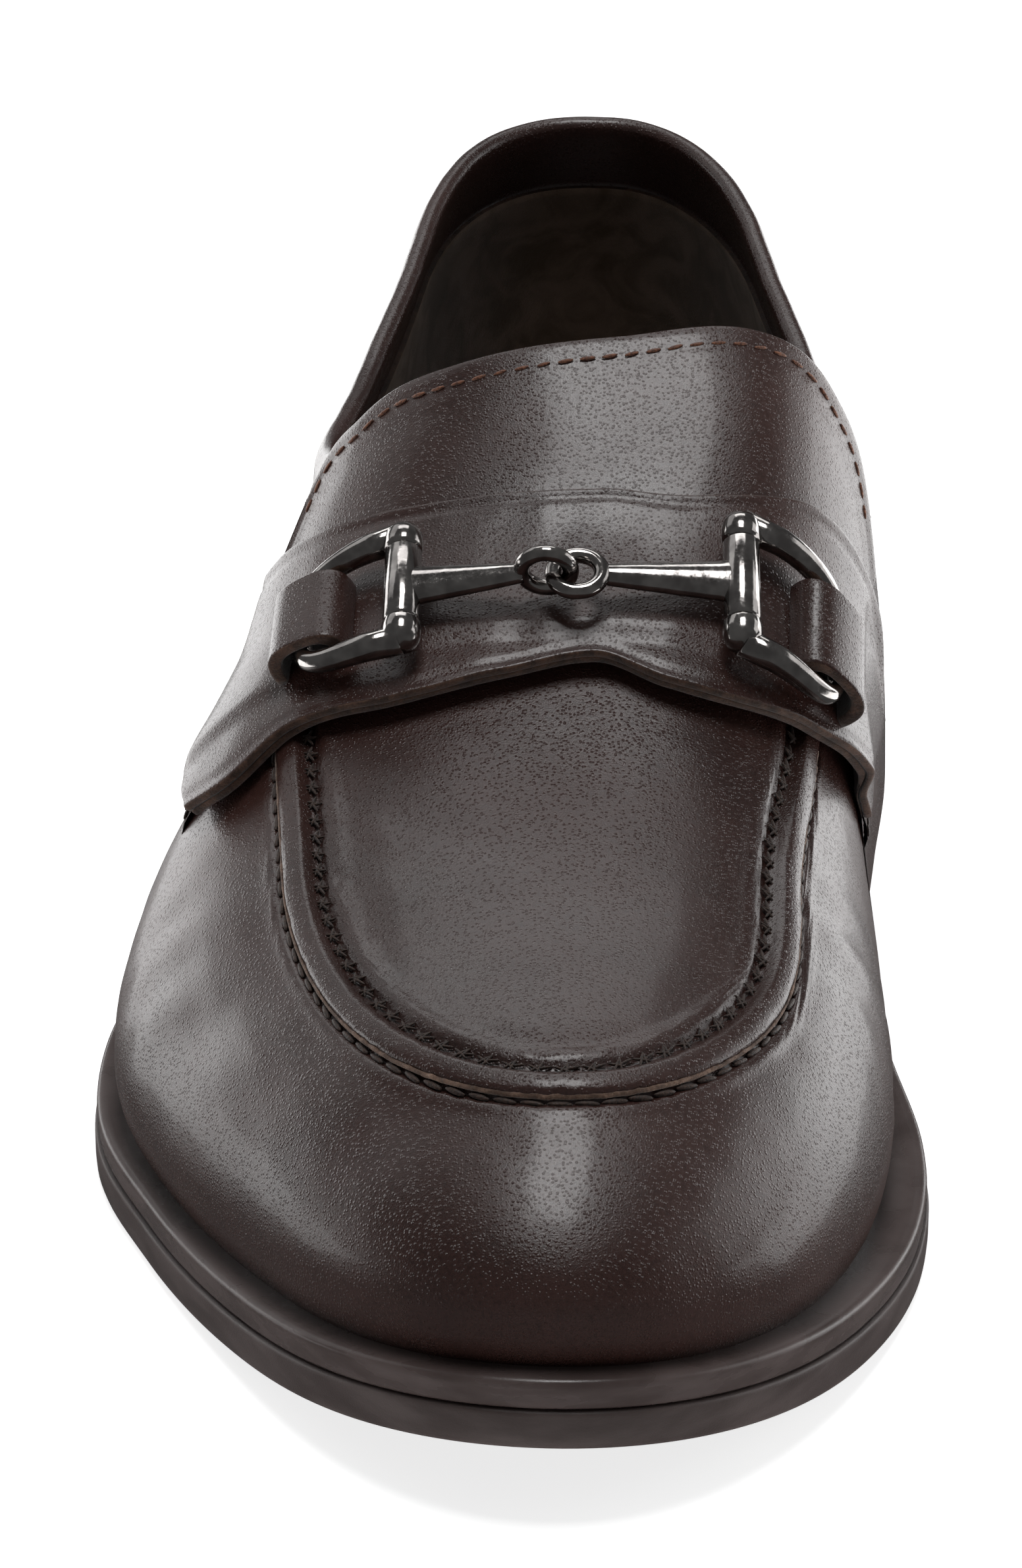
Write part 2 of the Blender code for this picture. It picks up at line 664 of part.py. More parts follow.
def ring(name, side, origin):
    """The D shaped ring: a bow, and a pin through the sleeve with a cap at each end."""
    lift = bit_lift()
    bow_lift = strap_top() + 2 * GAP + BOW_RADIUS
    path, radii = [], []
    for angle in np.linspace(0, math.pi, BOW_STEPS):
        reach = abs(math.sin(angle)) ** (2 / BOW_POWER)
        ahead = -BOW_HALF * math.copysign(abs(math.cos(angle)) ** (2 / BOW_POWER), math.cos(angle))
        level = lift + (bow_lift - lift) * smooth(reach)
        path.append(bit_point(origin, side, BOW_REACH * reach, ahead, level))
        radii.append(BOW_RADIUS + (BOW_ROOT - BOW_RADIUS) * (1 - smooth(reach)))
    path = np.array(path)
    grid = tube(path, np.stack([radii, radii], 1), 10, False, normal(path[:, 0], path[:, 1]))
    made = add_object(name, grid.reshape(-1, 3), tube_faces(len(path), 10))
    middle, along = barrel(side, origin)
    half = SLEEVE_LENGTH / 2 + GAP
    pin = rod(name + ".pin", middle - along * (half + GAP), middle + along * (half + GAP), [PIN_RADIUS] * 2, 14)
    boolean(made, hidden(pin), "UNION")
    shape = [CAP_RADIUS * share for share in (0.9, 1.0, 1.0, 0.95, 0.75, 0.3)]
    for sign in (-1, 1):
        start = middle + along * sign * half
        stop = start + along * sign * CAP_LENGTH
        cap = rod(name + (".rear" if sign < 0 else ".front"), start, stop, shape, 16)
        boolean(made, hidden(cap), "UNION")
    return made


def hidden(made):
    """Keep a helper out of the part."""
    made.hide_render = True
    made.display_type = "WIRE"
    return made


def boolean(target, other, operation):
    modifier = target.modifiers.new(operation.title(), "BOOLEAN")
    modifier.object = other
    modifier.operation = operation
    modifier.solver = "EXACT"


def rod(name, start, end, radii, sides=14):
    """A straight rod, its radii given along it."""
    path = [start + (end - start) * t for t in np.linspace(0, 1, len(radii))]
    grid = tube(path, np.stack([radii, radii], 1), sides, False, Vector((0.1, 0.2, 1)))
    return add_object(name, grid.reshape(-1, 3), tube_faces(len(radii), sides))


def eye(name, centre, axis):
    """The small ring at the end of a shank."""
    major, minor = 18, 8
    axis = Vector(axis).normalized()
    turn = axis.to_track_quat("Z", "Y").to_matrix()
    points = []
    for k in range(major):
        a = 2 * math.pi * k / major
        for j in range(minor):
            b = 2 * math.pi * j / minor
            wide = EYE_RADIUS + EYE_WIRE * math.cos(b)
            points.append(turn @ Vector((wide * math.cos(a), wide * math.sin(a), EYE_WIRE * math.sin(b))))
    points = [tuple(point + Vector(centre)) for point in points]
    return add_object(name, points, tube_faces(major, minor, True))


def bar(name, side, origin, eye_centre, eye_axis):
    """Half of the bit: sleeve on the ring's pin, tapered shank and eye."""
    middle, along = barrel(side, origin)
    half = SLEEVE_LENGTH / 2
    made = rod(name, middle - along * half, middle + along * half, [SLEEVE_RADIUS] * 2, 20)
    bore = rod(name + ".bore", middle - along * half * 1.2, middle + along * half * 1.2,
               [PIN_RADIUS + BORE_PLAY] * 2, 16)
    to_eye = np.asarray(eye_centre) - middle
    reach = np.linalg.norm(to_eye)
    to_eye = to_eye / reach
    start = middle + to_eye * (SLEEVE_RADIUS * 0.85)
    stop = middle + to_eye * (reach - EYE_RADIUS)
    above = normal(*((start + stop) / 2)[:2])
    taper = [(SHANK_ROOT_WIDE, SHANK_ROOT), (SHANK_TIP_WIDE, SHANK_TIP * 1.1), (SHANK_TIP * 1.3, SHANK_TIP)]
    grid = tube([start, start + (stop - start) * SHANK_BEND, stop], taper, 12, False, above)
    shank = hidden(add_object(name + ".shank", grid.reshape(-1, 3), tube_faces(len(taper), 12)))
    loop = hidden(eye(name + ".eye", eye_centre, eye_axis))
    boolean(made, shank, "UNION")
    boolean(made, hidden(bore), "DIFFERENCE")
    boolean(made, loop, "UNION")
    return made


def linked_eyes():
    """Centres and axes of the two eyes, each through the other."""
    origin = BIT_CENTRE
    lift = strap_top() + 2 * GAP + EYE_RADIUS + EYE_WIRE
    apart = 2 * (EYE_RADIUS - EYE_WIRE) - 1.5 * GAP
    middle = bit_point(origin, 1, 0, 0, lift)
    ends = [bit_point(origin, 1, sign * 0.01, 0, lift) for sign in (-1, 1)]
    line = (ends[1] - ends[0]) / np.linalg.norm(ends[1] - ends[0])
    up = normal(middle[0], middle[1])
    drop = up * (EYE_WIRE * 0.6)
    flat = np.cross(line, up)
    return (middle - line * apart / 2, flat), (middle + line * apart / 2 - drop, up)


def paint(made, name, colour, roughness, metallic=0.0):
    """Give a piece its own material."""
    material = bpy.data.materials.new(name)
    material.use_nodes = True
    shader = material.node_tree.nodes["Principled BSDF"]
    shader.inputs["Base Color"].default_value = (*colour, 1)
    shader.inputs["Roughness"].default_value = roughness
    shader.inputs["Metallic"].default_value = metallic
    made.data.materials.append(material)


def build():
    for old in list(bpy.data.objects):
        bpy.data.objects.remove(old)

    def welt_level(rise):
        return lambda at: underside(at) + OUTSOLE_THICK + rise

    sole_margins = (0.0, 0.0)
    outsole = plate("outsole", "sole", sole_margins, (
        (EDGE_ROUND, underside),
        (0.0, lambda at: underside(at) + EDGE_ROUND),
        (0.0, lambda at: underside(at) + OUTSOLE_THICK - EDGE_ROUND / 3),
        (EDGE_ROUND / 3, lambda at: underside(at) + OUTSOLE_THICK),
    ))
    midsole = plate("midsole", "sole", sole_margins, (
        (WELT_STEP + EDGE_ROUND / 2, welt_level(GAP)),
        (WELT_STEP, welt_level(GAP + EDGE_ROUND / 2)),
        (WELT_STEP, welt_level(WELT_THICK - EDGE_ROUND)),
        (WELT_STEP + EDGE_ROUND / 3, welt_level(WELT_THICK - EDGE_ROUND / 3)),
        (WELT_STEP + EDGE_ROUND, welt_level(WELT_THICK)),
    ))
    heel = plate("heel", "sole", sole_margins, (
        (HEEL_TAPER + EDGE_ROUND / 2, lambda at: np.zeros_like(at)),
        (HEEL_TAPER, lambda at: np.full_like(at, EDGE_ROUND / 2)),
        (WELT_STEP, lambda at: np.full_like(at, HEEL_HEIGHT)),
    ), HEEL_LENGTH / LENGTH)
    upper = shell("upper", *upper_grids(), wrap=True)
    inside = TUCK + WALL + 2 * GAP
    insole_margins = (TOE_MARGIN, HEEL_MARGIN)
    insole = plate("insole", "upper", insole_margins, (
        (inside, lambda at: welt_top(at) + GAP),
        (inside, lambda at: welt_top(at) + GAP + INSOLE_THICK * 0.7),
        (inside + INSOLE_THICK * 0.3, lambda at: welt_top(at) + GAP + INSOLE_THICK),
    ))
    tongue = patch("tongue", TONGUE, tongue_end, tongue_offsets, 9, 41)
    strap = patch("saddle_strap", STRAP, strap_end, strap_offsets, 9, 37)
    lateral_eye, medial_eye = linked_eyes()
    pieces = [
        (outsole, "outsole_rubber", (0.035, 0.030, 0.032), 0.65, 0),
        (midsole, "welt_rubber", (0.040, 0.034, 0.036), 0.50, 0),
        (heel, "heel_rubber", (0.030, 0.026, 0.028), 0.65, 0),
        (upper, "upper_leather", (0.045, 0.030, 0.027), 0.35, 0),
        (insole, "lining_leather", (0.020, 0.014, 0.012), 0.60, 0),
        (tongue, "tongue_leather", (0.048, 0.032, 0.029), 0.35, 0),
        (strap, "strap_leather", (0.046, 0.031, 0.028), 0.35, 0),
        (keeper("keeper_lateral", -1, BIT_LATERAL), "keeper_leather", (0.043, 0.029, 0.026), 0.35, 0),
        (keeper("keeper_medial", 1, BIT_MEDIAL), "keeper_leather_medial", (0.043, 0.029, 0.026), 0.35, 0),
        (ring("bit_ring_lateral", -1, BIT_LATERAL), "ring_nickel", (0.50, 0.49, 0.48), 0.15, 1),
        (ring("bit_ring_medial", 1, BIT_MEDIAL), "ring_nickel_medial", (0.50, 0.49, 0.48), 0.15, 1),
        (bar("bit_bar_lateral", -1, BIT_LATERAL, *lateral_eye), "bar_nickel", (0.52, 0.51, 0.50), 0.12, 1),
        (bar("bit_bar_medial", 1, BIT_MEDIAL, *medial_eye), "bar_nickel_medial", (0.52, 0.51, 0.50), 0.12, 1),
    ]
    for made, name, colour, roughness, metallic in pieces:
        paint(made, name, colour, roughness, metallic)


build()
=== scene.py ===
import math

import bmesh
import bpy
import numpy as np
from bpy.props import FloatProperty, FloatVectorProperty, PointerProperty
from mathutils import Matrix, Vector


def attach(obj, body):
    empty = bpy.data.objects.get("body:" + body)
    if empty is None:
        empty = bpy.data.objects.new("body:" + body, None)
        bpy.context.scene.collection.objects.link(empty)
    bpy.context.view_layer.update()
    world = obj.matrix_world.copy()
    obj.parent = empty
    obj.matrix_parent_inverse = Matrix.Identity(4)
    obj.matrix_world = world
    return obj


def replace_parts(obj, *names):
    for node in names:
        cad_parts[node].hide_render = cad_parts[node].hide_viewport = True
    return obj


bl_info = {
    "name": "Bit loafer looks",
    "version": (1, 0, 0),
    "blender": (4, 5, 0),
    "location": "View3D > Sidebar > Loafer",
    "description": "Dresses the packed bit loafer in leather, rubber, thread and polished metal",
    "category": "Object",
}

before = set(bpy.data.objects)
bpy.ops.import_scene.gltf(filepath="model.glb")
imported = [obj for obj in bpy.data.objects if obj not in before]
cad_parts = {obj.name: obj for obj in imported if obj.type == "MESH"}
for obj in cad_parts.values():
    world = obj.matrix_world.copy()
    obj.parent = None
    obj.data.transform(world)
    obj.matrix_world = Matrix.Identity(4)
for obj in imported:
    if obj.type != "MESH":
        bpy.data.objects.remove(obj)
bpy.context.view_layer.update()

METRE = 1000.0  # millimetres
MERGE = 1e-7  # points closer than this are one

# The shoe's own sizes, metres, as in the solids
LENGTH = 0.300
BALL_WIDTH = 0.1124
HEEL_HEIGHT = 0.0190
TOE_SPRING = 0.0105
INSTEP_HEIGHT = 0.1010
COLLAR_HEIGHT = 0.0840
OUTSOLE_THICK = 0.0055
WELT_THICK = 0.0042
HEEL_LENGTH = 0.0700
INSOLE_THICK = 0.0030
WALL = 0.0019
BULGE_HEIGHT = 0.0080
TUCK = 0.0020
TOE_MARGIN = 0.0030
HEEL_MARGIN = 0.0020
GAP = 0.0003
TONGUE_THICK = 0.0018
STRAP_FRONT_THICK = 0.0026
STRAP_REAR_THICK = 0.0014
STRAP_END_THICK = 0.0016
STRAP_END_LATERAL = 0.0460
STRAP_END_MEDIAL = 0.0400
SEAM_RAISE = 0.0009
FLAT_BACK = 0.56
FLAT_FRONT = 0.78
SEAT_FRONT = HEEL_LENGTH / LENGTH + 0.01
TOE_SPLIT = 0.745
HEEL_SPLIT = 0.14
THROAT_SIDE = 0.44
THROAT = 0.53
SHOULDER_BACK = 0.28
SHOULDER_FRONT = 0.66
SHOULDER_EASE = 0.14
TOE_POWER = 1.98
HEEL_POWER = 2.3
ARCH_ACROSS = 2.75
ARCH_UP = 1.75
SHOULDER = 1.5
SECTION_COLUMNS = (
    "station", "sole_lateral", "sole_medial", "upper_lateral", "upper_medial", "ridge", "crown", "topline",
)
SECTIONS = (
    (0.00, -0.245, 0.302, -0.227, 0.240, 0.031, 1.069, 1.000),
    (0.12, -0.269, 0.335, -0.240, 0.298, 0.036, 1.045, 0.917),
    (0.22, -0.285, 0.369, -0.269, 0.354, 0.044, 1.030, 0.839),
    (0.30, -0.308, 0.389, -0.302, 0.398, 0.058, 1.010, 0.786),
    (0.38, -0.347, 0.399, -0.343, 0.436, 0.080, 1.000, 0.786),
    (0.44, -0.380, 0.402, -0.362, 0.452, 0.102, 0.970, 0.857),
    (0.49, -0.413, 0.407, -0.379, 0.440, 0.111, 0.929, 0.952),
    (0.56, -0.470, 0.426, -0.416, 0.428, 0.102, 0.782, 0.952),
    (0.65, -0.510, 0.464, -0.474, 0.444, 0.091, 0.649, 0.810),
    (0.72, -0.498, 0.495, -0.473, 0.454, 0.087, 0.569, 0.714),
    (0.80, -0.427, 0.500, -0.407, 0.456, 0.084, 0.515, 0.714),
    (0.88, -0.374, 0.489, -0.345, 0.452, 0.080, 0.505, 0.714),
    (1.00, -0.340, 0.475, -0.311, 0.446, 0.077, 0.490, 0.714),
)
SEAM_FRONT = 0.911
SEAM_COLUMNS = ("station", "centre", "half")
SEAM = (
    (0.50, 0.030, 0.336),
    (0.65, 0.032, 0.320),
    (0.74, 0.038, 0.299),
    (0.82, 0.059, 0.294),
    (0.92, 0.076, 0.294),
)
EDGE_COLUMNS = ("reach", "front", "rear")
TONGUE_END_LATERAL = 0.80
TONGUE_END_MEDIAL = 0.83
TONGUE_EAR = 0.07
EAR_BACK = 0.50
EAR_FRONT = 0.53
TONGUE_FRONT = 0.605
TONGUE = (
    (-1.00, TONGUE_FRONT, 0.512),
    (-0.93, TONGUE_FRONT, 0.484),
    (-0.80, TONGUE_FRONT, 0.482),
    (-0.50, TONGUE_FRONT, 0.490),
    (0.00, TONGUE_FRONT, 0.486),
    (0.50, TONGUE_FRONT, 0.474),
    (0.80, TONGUE_FRONT, 0.466),
    (0.93, TONGUE_FRONT, 0.470),
    (1.00, TONGUE_FRONT, 0.492),
)
STRAP = (
    (-1.00, 0.669, 0.500),
    (-0.93, 0.674, 0.508),
    (-0.75, 0.661, 0.535),
    (-0.50, 0.663, 0.553),
    (-0.22, 0.654, 0.557),
    (0.00, 0.645, 0.556),
    (0.26, 0.656, 0.558),
    (0.46, 0.657, 0.553),
    (0.69, 0.646, 0.538),
    (0.90, 0.625, 0.516),
    (1.00, 0.608, 0.500),
)
BIT_LATERAL = (-0.123, 0.614)
BIT_MEDIAL = (0.240, 0.607)
BIT_CENTRE = (0.051, 0.616)
SLEEVE_RADIUS = 0.0025
SLEEVE_LENGTH = 0.0135
CAP_RADIUS = 0.0026
CAP_LENGTH = 0.0044
BOW_RADIUS = 0.0015
BOW_ROOT = 0.0021
BOW_REACH = 0.0130
BOW_HALF = 0.0091
BOW_POWER = 5.0
KEEPER_WIDTH = 0.0130
KEEPER_SPAN = 0.0102
KEEPER_INSET = 0.0006
KEEPER_THICK = 0.0016
KEEPER_POWER = 0.65
EYE_RADIUS = 0.0033
EYE_WIRE = 0.0010
SHANK_ROOT_WIDE = 0.0036
SHANK_TIP_WIDE = 0.0019
SHANK_ROOT = 0.0019
SHANK_TIP = 0.0012
LANDING_PLAY = 0.022
LANDING = 0.05
FORE_LANDING = 0.035
REAR_SHARE = 0.83
SHANK_BEND = 0.8

# Seam, collar, lining and strap detail, metres but for the pitch in mm
APRON_PITCH = 3.4
COLLAR_ROLL = 0.0055
COLLAR_RAISE = 0.0008
COLLAR_PAD = 0.0012
COLLAR_STITCH = 0.0085
FACING = 0.0115
LINING_THICK = 0.0007
STRAP_LAYER = 0.0013
LAYER_PLAY = 0.00035
FINE_WIDE = 0.00055
FINE_THICK = 0.00045

# Grid of the upper: columns on each side, rows below, across and above the seam, and inside
UPPER_COLUMNS = 200
OUTER_ROWS = (41, 58, 37)
FACING_ROWS = 9
LINING_ROWS = 24

# Relief beside the apron seam's roll, in mm: height, distance inside the seam's outer edge, half width
SEAM_FURROWS = ((-0.45, -0.45, 0.55), (-0.50, 5.2, 0.75), (0.30, 7.4, 1.3), (0.22, -1.9, 1.0))
SEAM_PUCKERS = ((0.24, 6.0, 1.4), (0.12, -1.5, 1.1))

# Creases worn into the leather, in shoe lengths along and ball widths across:
# start station, start across, end station, end across, depth in mm, half width in mm
CREASES = (
    (0.735, -0.46, 0.775, -0.335, 0.55, 3.6),
    (0.705, -0.47, 0.735, -0.345, 0.40, 3.2),
    (0.765, -0.43, 0.812, -0.315, 0.30, 3.0),
    (0.748, -0.45, 0.790, -0.325, -0.35, 3.0),
    (0.690, 0.445, 0.735, 0.350, 0.40, 2.6),
    (0.712, 0.450, 0.752, 0.352, -0.28, 2.2),
    (0.735, 0.450, 0.775, 0.350, 0.35, 2.4),
    (0.660, 0.440, 0.700, 0.360, 0.30, 2.6),
    (0.560, -0.400, 0.640, -0.345, 0.35, 4.0),
    (0.905, -0.190, 0.925, 0.020, 0.35, 7.0),
    (0.900, 0.120, 0.915, 0.250, 0.30, 6.0),
)

# Edges of the sole's layers from below, in mm: in from the plan, up from the layer's foot
SOLE_COLUMNS = 170
SOLE_ACROSS = 14
OUTSOLE_TOP = OUTSOLE_THICK * METRE
HEEL_TOP = HEEL_HEIGHT * METRE
SOCK_TOP = INSOLE_THICK * METRE
SOCK_INSET = (TUCK + WALL + 2 * GAP) * METRE
OUTSOLE_EDGE = (
    (1.6, 0), (0.8, 0.12), (0.3, 0.45), (0.1, 1.0), (0.0, 2.2), (0.0, 3.6), (0.0, OUTSOLE_TOP - 0.7),
    (0.08, OUTSOLE_TOP - 0.3), (0.3, OUTSOLE_TOP - 0.06), (1.2, OUTSOLE_TOP),
)
WELT_EDGE = (
    (1.2, 0.1), (0.7, 0.25), (0.52, 0.6), (0.55, 1.4), (0.48, 2.4), (0.36, 3.1), (0.42, 3.6), (0.72, 3.98),
    (1.25, 4.16), (2.0, 4.12), (3.0, 4.0), (4.2, 3.95), (6.0, 4.1),
)
HEEL_EDGE = (
    (3.0, 0), (2.1, 0.15), (1.65, 0.6), (1.5, 1.4), (1.4, 5.2), (1.5, 5.5), (1.9, 5.7), (1.9, 5.95), (1.4, 6.15),
    (1.3, 6.5), (1.0, 12), (0.5, HEEL_TOP - 0.3), (0.8, HEEL_TOP),
)
SOCK_EDGE = (
    (SOCK_INSET, 0), (SOCK_INSET, SOCK_TOP * 0.5), (SOCK_INSET + 0.3, SOCK_TOP * 0.8), (SOCK_INSET + 1.0, SOCK_TOP),
    (SOCK_INSET + 4.0, SOCK_TOP + 0.1), (SOCK_INSET + 10.0, SOCK_TOP + 0.1),
)

# Round parts of the bit: share along, radius in metres
CAP_SHAPE = (
    (0.0, 0.0018), (0.04, CAP_RADIUS * 0.96), (0.12, CAP_RADIUS * 1.02), (0.35, CAP_RADIUS * 1.04), (0.6, CAP_RADIUS),
    (0.8, CAP_RADIUS * 0.82), (0.93, CAP_RADIUS * 0.5), (1.0, 0.00001),
)
SLEEVE_SHAPE = (
    (0.0, 0.0016), (0.0, SLEEVE_RADIUS * 0.9), (0.03, SLEEVE_RADIUS), (0.5, SLEEVE_RADIUS), (0.97, SLEEVE_RADIUS),
    (1.0, SLEEVE_RADIUS * 0.9), (1.0, 0.0016),
)
BIT_SIDES = (("lateral", -1, BIT_LATERAL), ("medial", 1, BIT_MEDIAL))

# Camera: azimuth and elevation in degrees, distance, target and lens in mm, as fitted to the photo
CAMERA_ANGLES = (2.9, 25.15)
CAMERA_DISTANCE = 0.6243
CAMERA_TARGET = (0.0051, -0.1634, 0.10587)
CAMERA_LENS = 128.76
SENSOR_HEIGHT = 36.0

# Soft lights: name, place, target, size in metres, watts
LIGHTS = (
    ("left_strip", (-1.0, 1.05, 0.16), (0, 1.05, 0.16), (1.3, 0.30), 3.6),
    ("left_scrim", (-1.2, 1.2, 1.2), (0, 0, 0), (1.6, 1.0), 3.2),
    ("back_scrim", (-0.15, 1.5, 1.75), (0, 0, 0), (1.4, 0.55), 6.5),
    ("right_strip", (1.0, 1.3, 0.16), (0, 1.3, 0.16), (1.8, 0.34), 6),
    ("right_scrim", (1.1, 0.35, 0.45), (0, 0.2, 0.1), (0.9, 0.55), 2.0),
    ("top_box", (0.02, -0.02, 1.3), (0.02, -0.02, 0), (0.42, 0.52), 7.8),
)
# The lit table beside and behind the shoe, seen in the leather but not by the lens
TABLE_LIGHTS = (
    ("table_left", (-0.66, 0.85, 0.001), (-0.66, 0.85, 1), (1.1, 1.9), 16),
    ("table_right", (0.66, 0.85, 0.001), (0.66, 0.85, 1), (1.1, 1.9), 16),
    ("table_back", (0.0, 1.05, 0.001), (0.0, 1.05, 1), (0.22, 1.7), 2),
)


def column(table, columns, name, station):
    """Read one column of a table at any station, smoothly between its rows."""
    rows = np.array(table, float)
    x = rows[:, 0]
    value = rows[:, columns.index(name)]
    step = np.diff(x)
    slope = np.diff(value) / step
    tangent = np.empty_like(value)
    tangent[1:-1] = (slope[:-1] * step[1:] + slope[1:] * step[:-1]) / (step[:-1] + step[1:])
    tangent[0] = slope[0]
    tangent[-1] = slope[-1]
    station = np.asarray(station, float)
    row = np.clip(np.searchsorted(x, station, side="right") - 1, 0, len(step) - 1)
    t = np.clip((station - x[row]) / step[row], 0, 1)
    start = value[row] * (1 + 2 * t) * (1 - t) ** 2 + tangent[row] * step[row] * t * (1 - t) ** 2
    end = value[row + 1] * t * t * (3 - 2 * t) - tangent[row + 1] * step[row] * t * t * (1 - t)
    return start + end


def section(name, station):
    """Read a column of the section table in metres."""
    scale = {"crown": INSTEP_HEIGHT, "topline": COLLAR_HEIGHT}.get(name, BALL_WIDTH)
    return column(SECTIONS, SECTION_COLUMNS, name, station) * scale


def smooth(value):
    """Ease from 0 to 1."""
    t = np.clip(value, 0, 1)
    return t * t * (3 - 2 * t)


def y_at(station):
    """The shoe's y at a station; the toe is at the far minus end."""
    return LENGTH * (0.5 - station)


def station_at(y):
    """Share of the length from the heel's back to the toe's tip."""
    return 0.5 - y / LENGTH


def underside(station):
    """Height of the outsole's underside."""
    toe = np.clip((station - FLAT_FRONT) / (1 - FLAT_FRONT), 0, None) ** 2 * TOE_SPRING
    return toe + HEEL_HEIGHT * smooth((FLAT_BACK - station) / (FLAT_BACK - SEAT_FRONT))


def welt_top(station):
    """Height on which the upper stands."""
    return underside(station) + OUTSOLE_THICK + WELT_THICK


def widest(station):
    """Height at which the upper is widest."""
    return welt_top(station) + BULGE_HEIGHT


def end_share(station, toe_margin, heel_margin):
    """0 along the sides, rising to 1 at the toe tip and the heel back."""
    toe = (station - TOE_SPLIT) / (1 - TOE_SPLIT - toe_margin / LENGTH)
    heel = (HEEL_SPLIT - station) / (HEEL_SPLIT - heel_margin / LENGTH)
    return np.clip(np.maximum(toe, heel), 0, 1)


def end_power(station):
    """Roundness of the plan at the toe or the heel."""
    return np.where(np.asarray(station) > 0.5, TOE_POWER, HEEL_POWER)


def edge_point(side, station, piece, toe_margin, heel_margin):
    """Plan point of the sole's edge, or of the upper's widest line, on one side."""
    ridge = section("ridge", station)
    name = piece + ("_lateral" if side < 0 else "_medial")
    share = end_share(station, toe_margin, heel_margin)
    power = end_power(station)
    close = np.clip(1 - share ** power, 0, None) ** (1 / power)
    return ridge + (section(name, station) - ridge) * close, y_at(station)


def gauge(x, y):
    """0 on the ridge, 1 on the upper's widest line, at any plan point."""
    station = station_at(y)
    ridge = section("ridge", station)
    lateral = ridge - section("upper_lateral", station)
    medial = section("upper_medial", station) - ridge
    across = np.abs(x - ridge) / np.where(x < ridge, lateral, medial)
    along = end_share(station, TOE_MARGIN, HEEL_MARGIN)
    power = end_power(station)
    return (across ** power + along ** power) ** (1 / power)


def arch_across(medial, station):
    """Power of the cross section, squarer at the medial shoulder of the instep."""
    back = smooth((station - SHOULDER_BACK) / SHOULDER_EASE)
    front = smooth((SHOULDER_FRONT - station) / SHOULDER_EASE)
    return ARCH_ACROSS + SHOULDER * back * front * medial


def height(x, y):
    """Height of the upper's outer form over a plan point."""
    station = station_at(y)
    low = widest(station)
    power = arch_across(x > section("ridge", station), station)
    rise = np.clip(1 - gauge(x, y) ** power, 0, None) ** (1 / ARCH_UP)
    return low + (section("crown", station) - low) * rise


def gauge_of_height(side, station, z):
    """The gauge at which one side of the section reaches a height."""
    low = widest(station)
    rise = np.clip((z - low) / (section("crown", station) - low), 0, 1)
    return (1 - rise ** ARCH_UP) ** (1 / arch_across(side > 0, station))


def topline_gauge(side, station):
    """The gauge of the collar's edge, closing across the throat."""
    behind = np.minimum(station, THROAT_SIDE)
    close = np.clip((station - THROAT_SIDE) / (THROAT - THROAT_SIDE), 0, 1)
    return gauge_of_height(side, behind, section("topline", behind)) * np.sqrt(1 - close ** 2)


def side_point(side, station, level):
    """Plan point of one side at a gauge level."""
    ridge = section("ridge", station)
    edge = section("upper_lateral" if side < 0 else "upper_medial", station)
    along = end_share(station, TOE_MARGIN, HEEL_MARGIN)
    power = end_power(station)
    across = np.clip(level ** power - along ** power, 0, None) ** (1 / power)
    return np.stack([ridge + (edge - ridge) * across, y_at(station)], -1)


def normal(x, y):
    """Outward unit normal of the outer form."""
    step = 2e-5
    dx = (height(x + step, y) - height(x - step, y)) / (2 * step)
    dy = (height(x, y + step) - height(x, y - step)) / (2 * step)
    out = np.stack([-dx, -dy, np.ones_like(dx)], -1)
    return out / np.linalg.norm(out, axis=-1, keepdims=True)


def on_form(x, y, offset):
    """A point at a distance out from the outer form."""
    base = np.stack(np.broadcast_arrays(x, y, height(x, y)), -1)
    return base + normal(x, y) * np.asarray(offset)[..., None]


def on_plan(plan, offset):
    """Plan points lifted onto the outer form, at a distance out from it."""
    return on_form(plan[..., 0], plan[..., 1], offset)


def hump(value, centre, width):
    """A bell of height 1 round a centre."""
    return np.exp(-((value - centre) / width) ** 2)


def travelled(points):
    """Distance along a line of points."""
    return np.append(0, np.cumsum(np.linalg.norm(np.diff(points, axis=0), axis=1)))


def along_line(points, at):
    """Points of a line at given distances along it."""
    length = travelled(points)
    return np.stack([np.interp(at, length, points[:, k]) for k in range(points.shape[1])], -1)


def even(points, count):
    """Points spaced evenly along a line."""
    return along_line(points, np.linspace(0, travelled(points)[-1], count))


def unit(vectors):
    """Vectors brought to length 1."""
    return vectors / np.maximum(np.linalg.norm(vectors, axis=-1, keepdims=True), 1e-12)


def seam_gauge(x, y):
    """1 on the apron seam's outer edge."""
    station = station_at(y)
    centre = column(SEAM, SEAM_COLUMNS, "centre", station) * BALL_WIDTH
    half = column(SEAM, SEAM_COLUMNS, "half", station) * BALL_WIDTH
    along = np.clip((station - TOE_SPLIT) / (SEAM_FRONT - TOE_SPLIT), 0, None)
    return np.sqrt(((x - centre) / half) ** 2 + along ** 2)


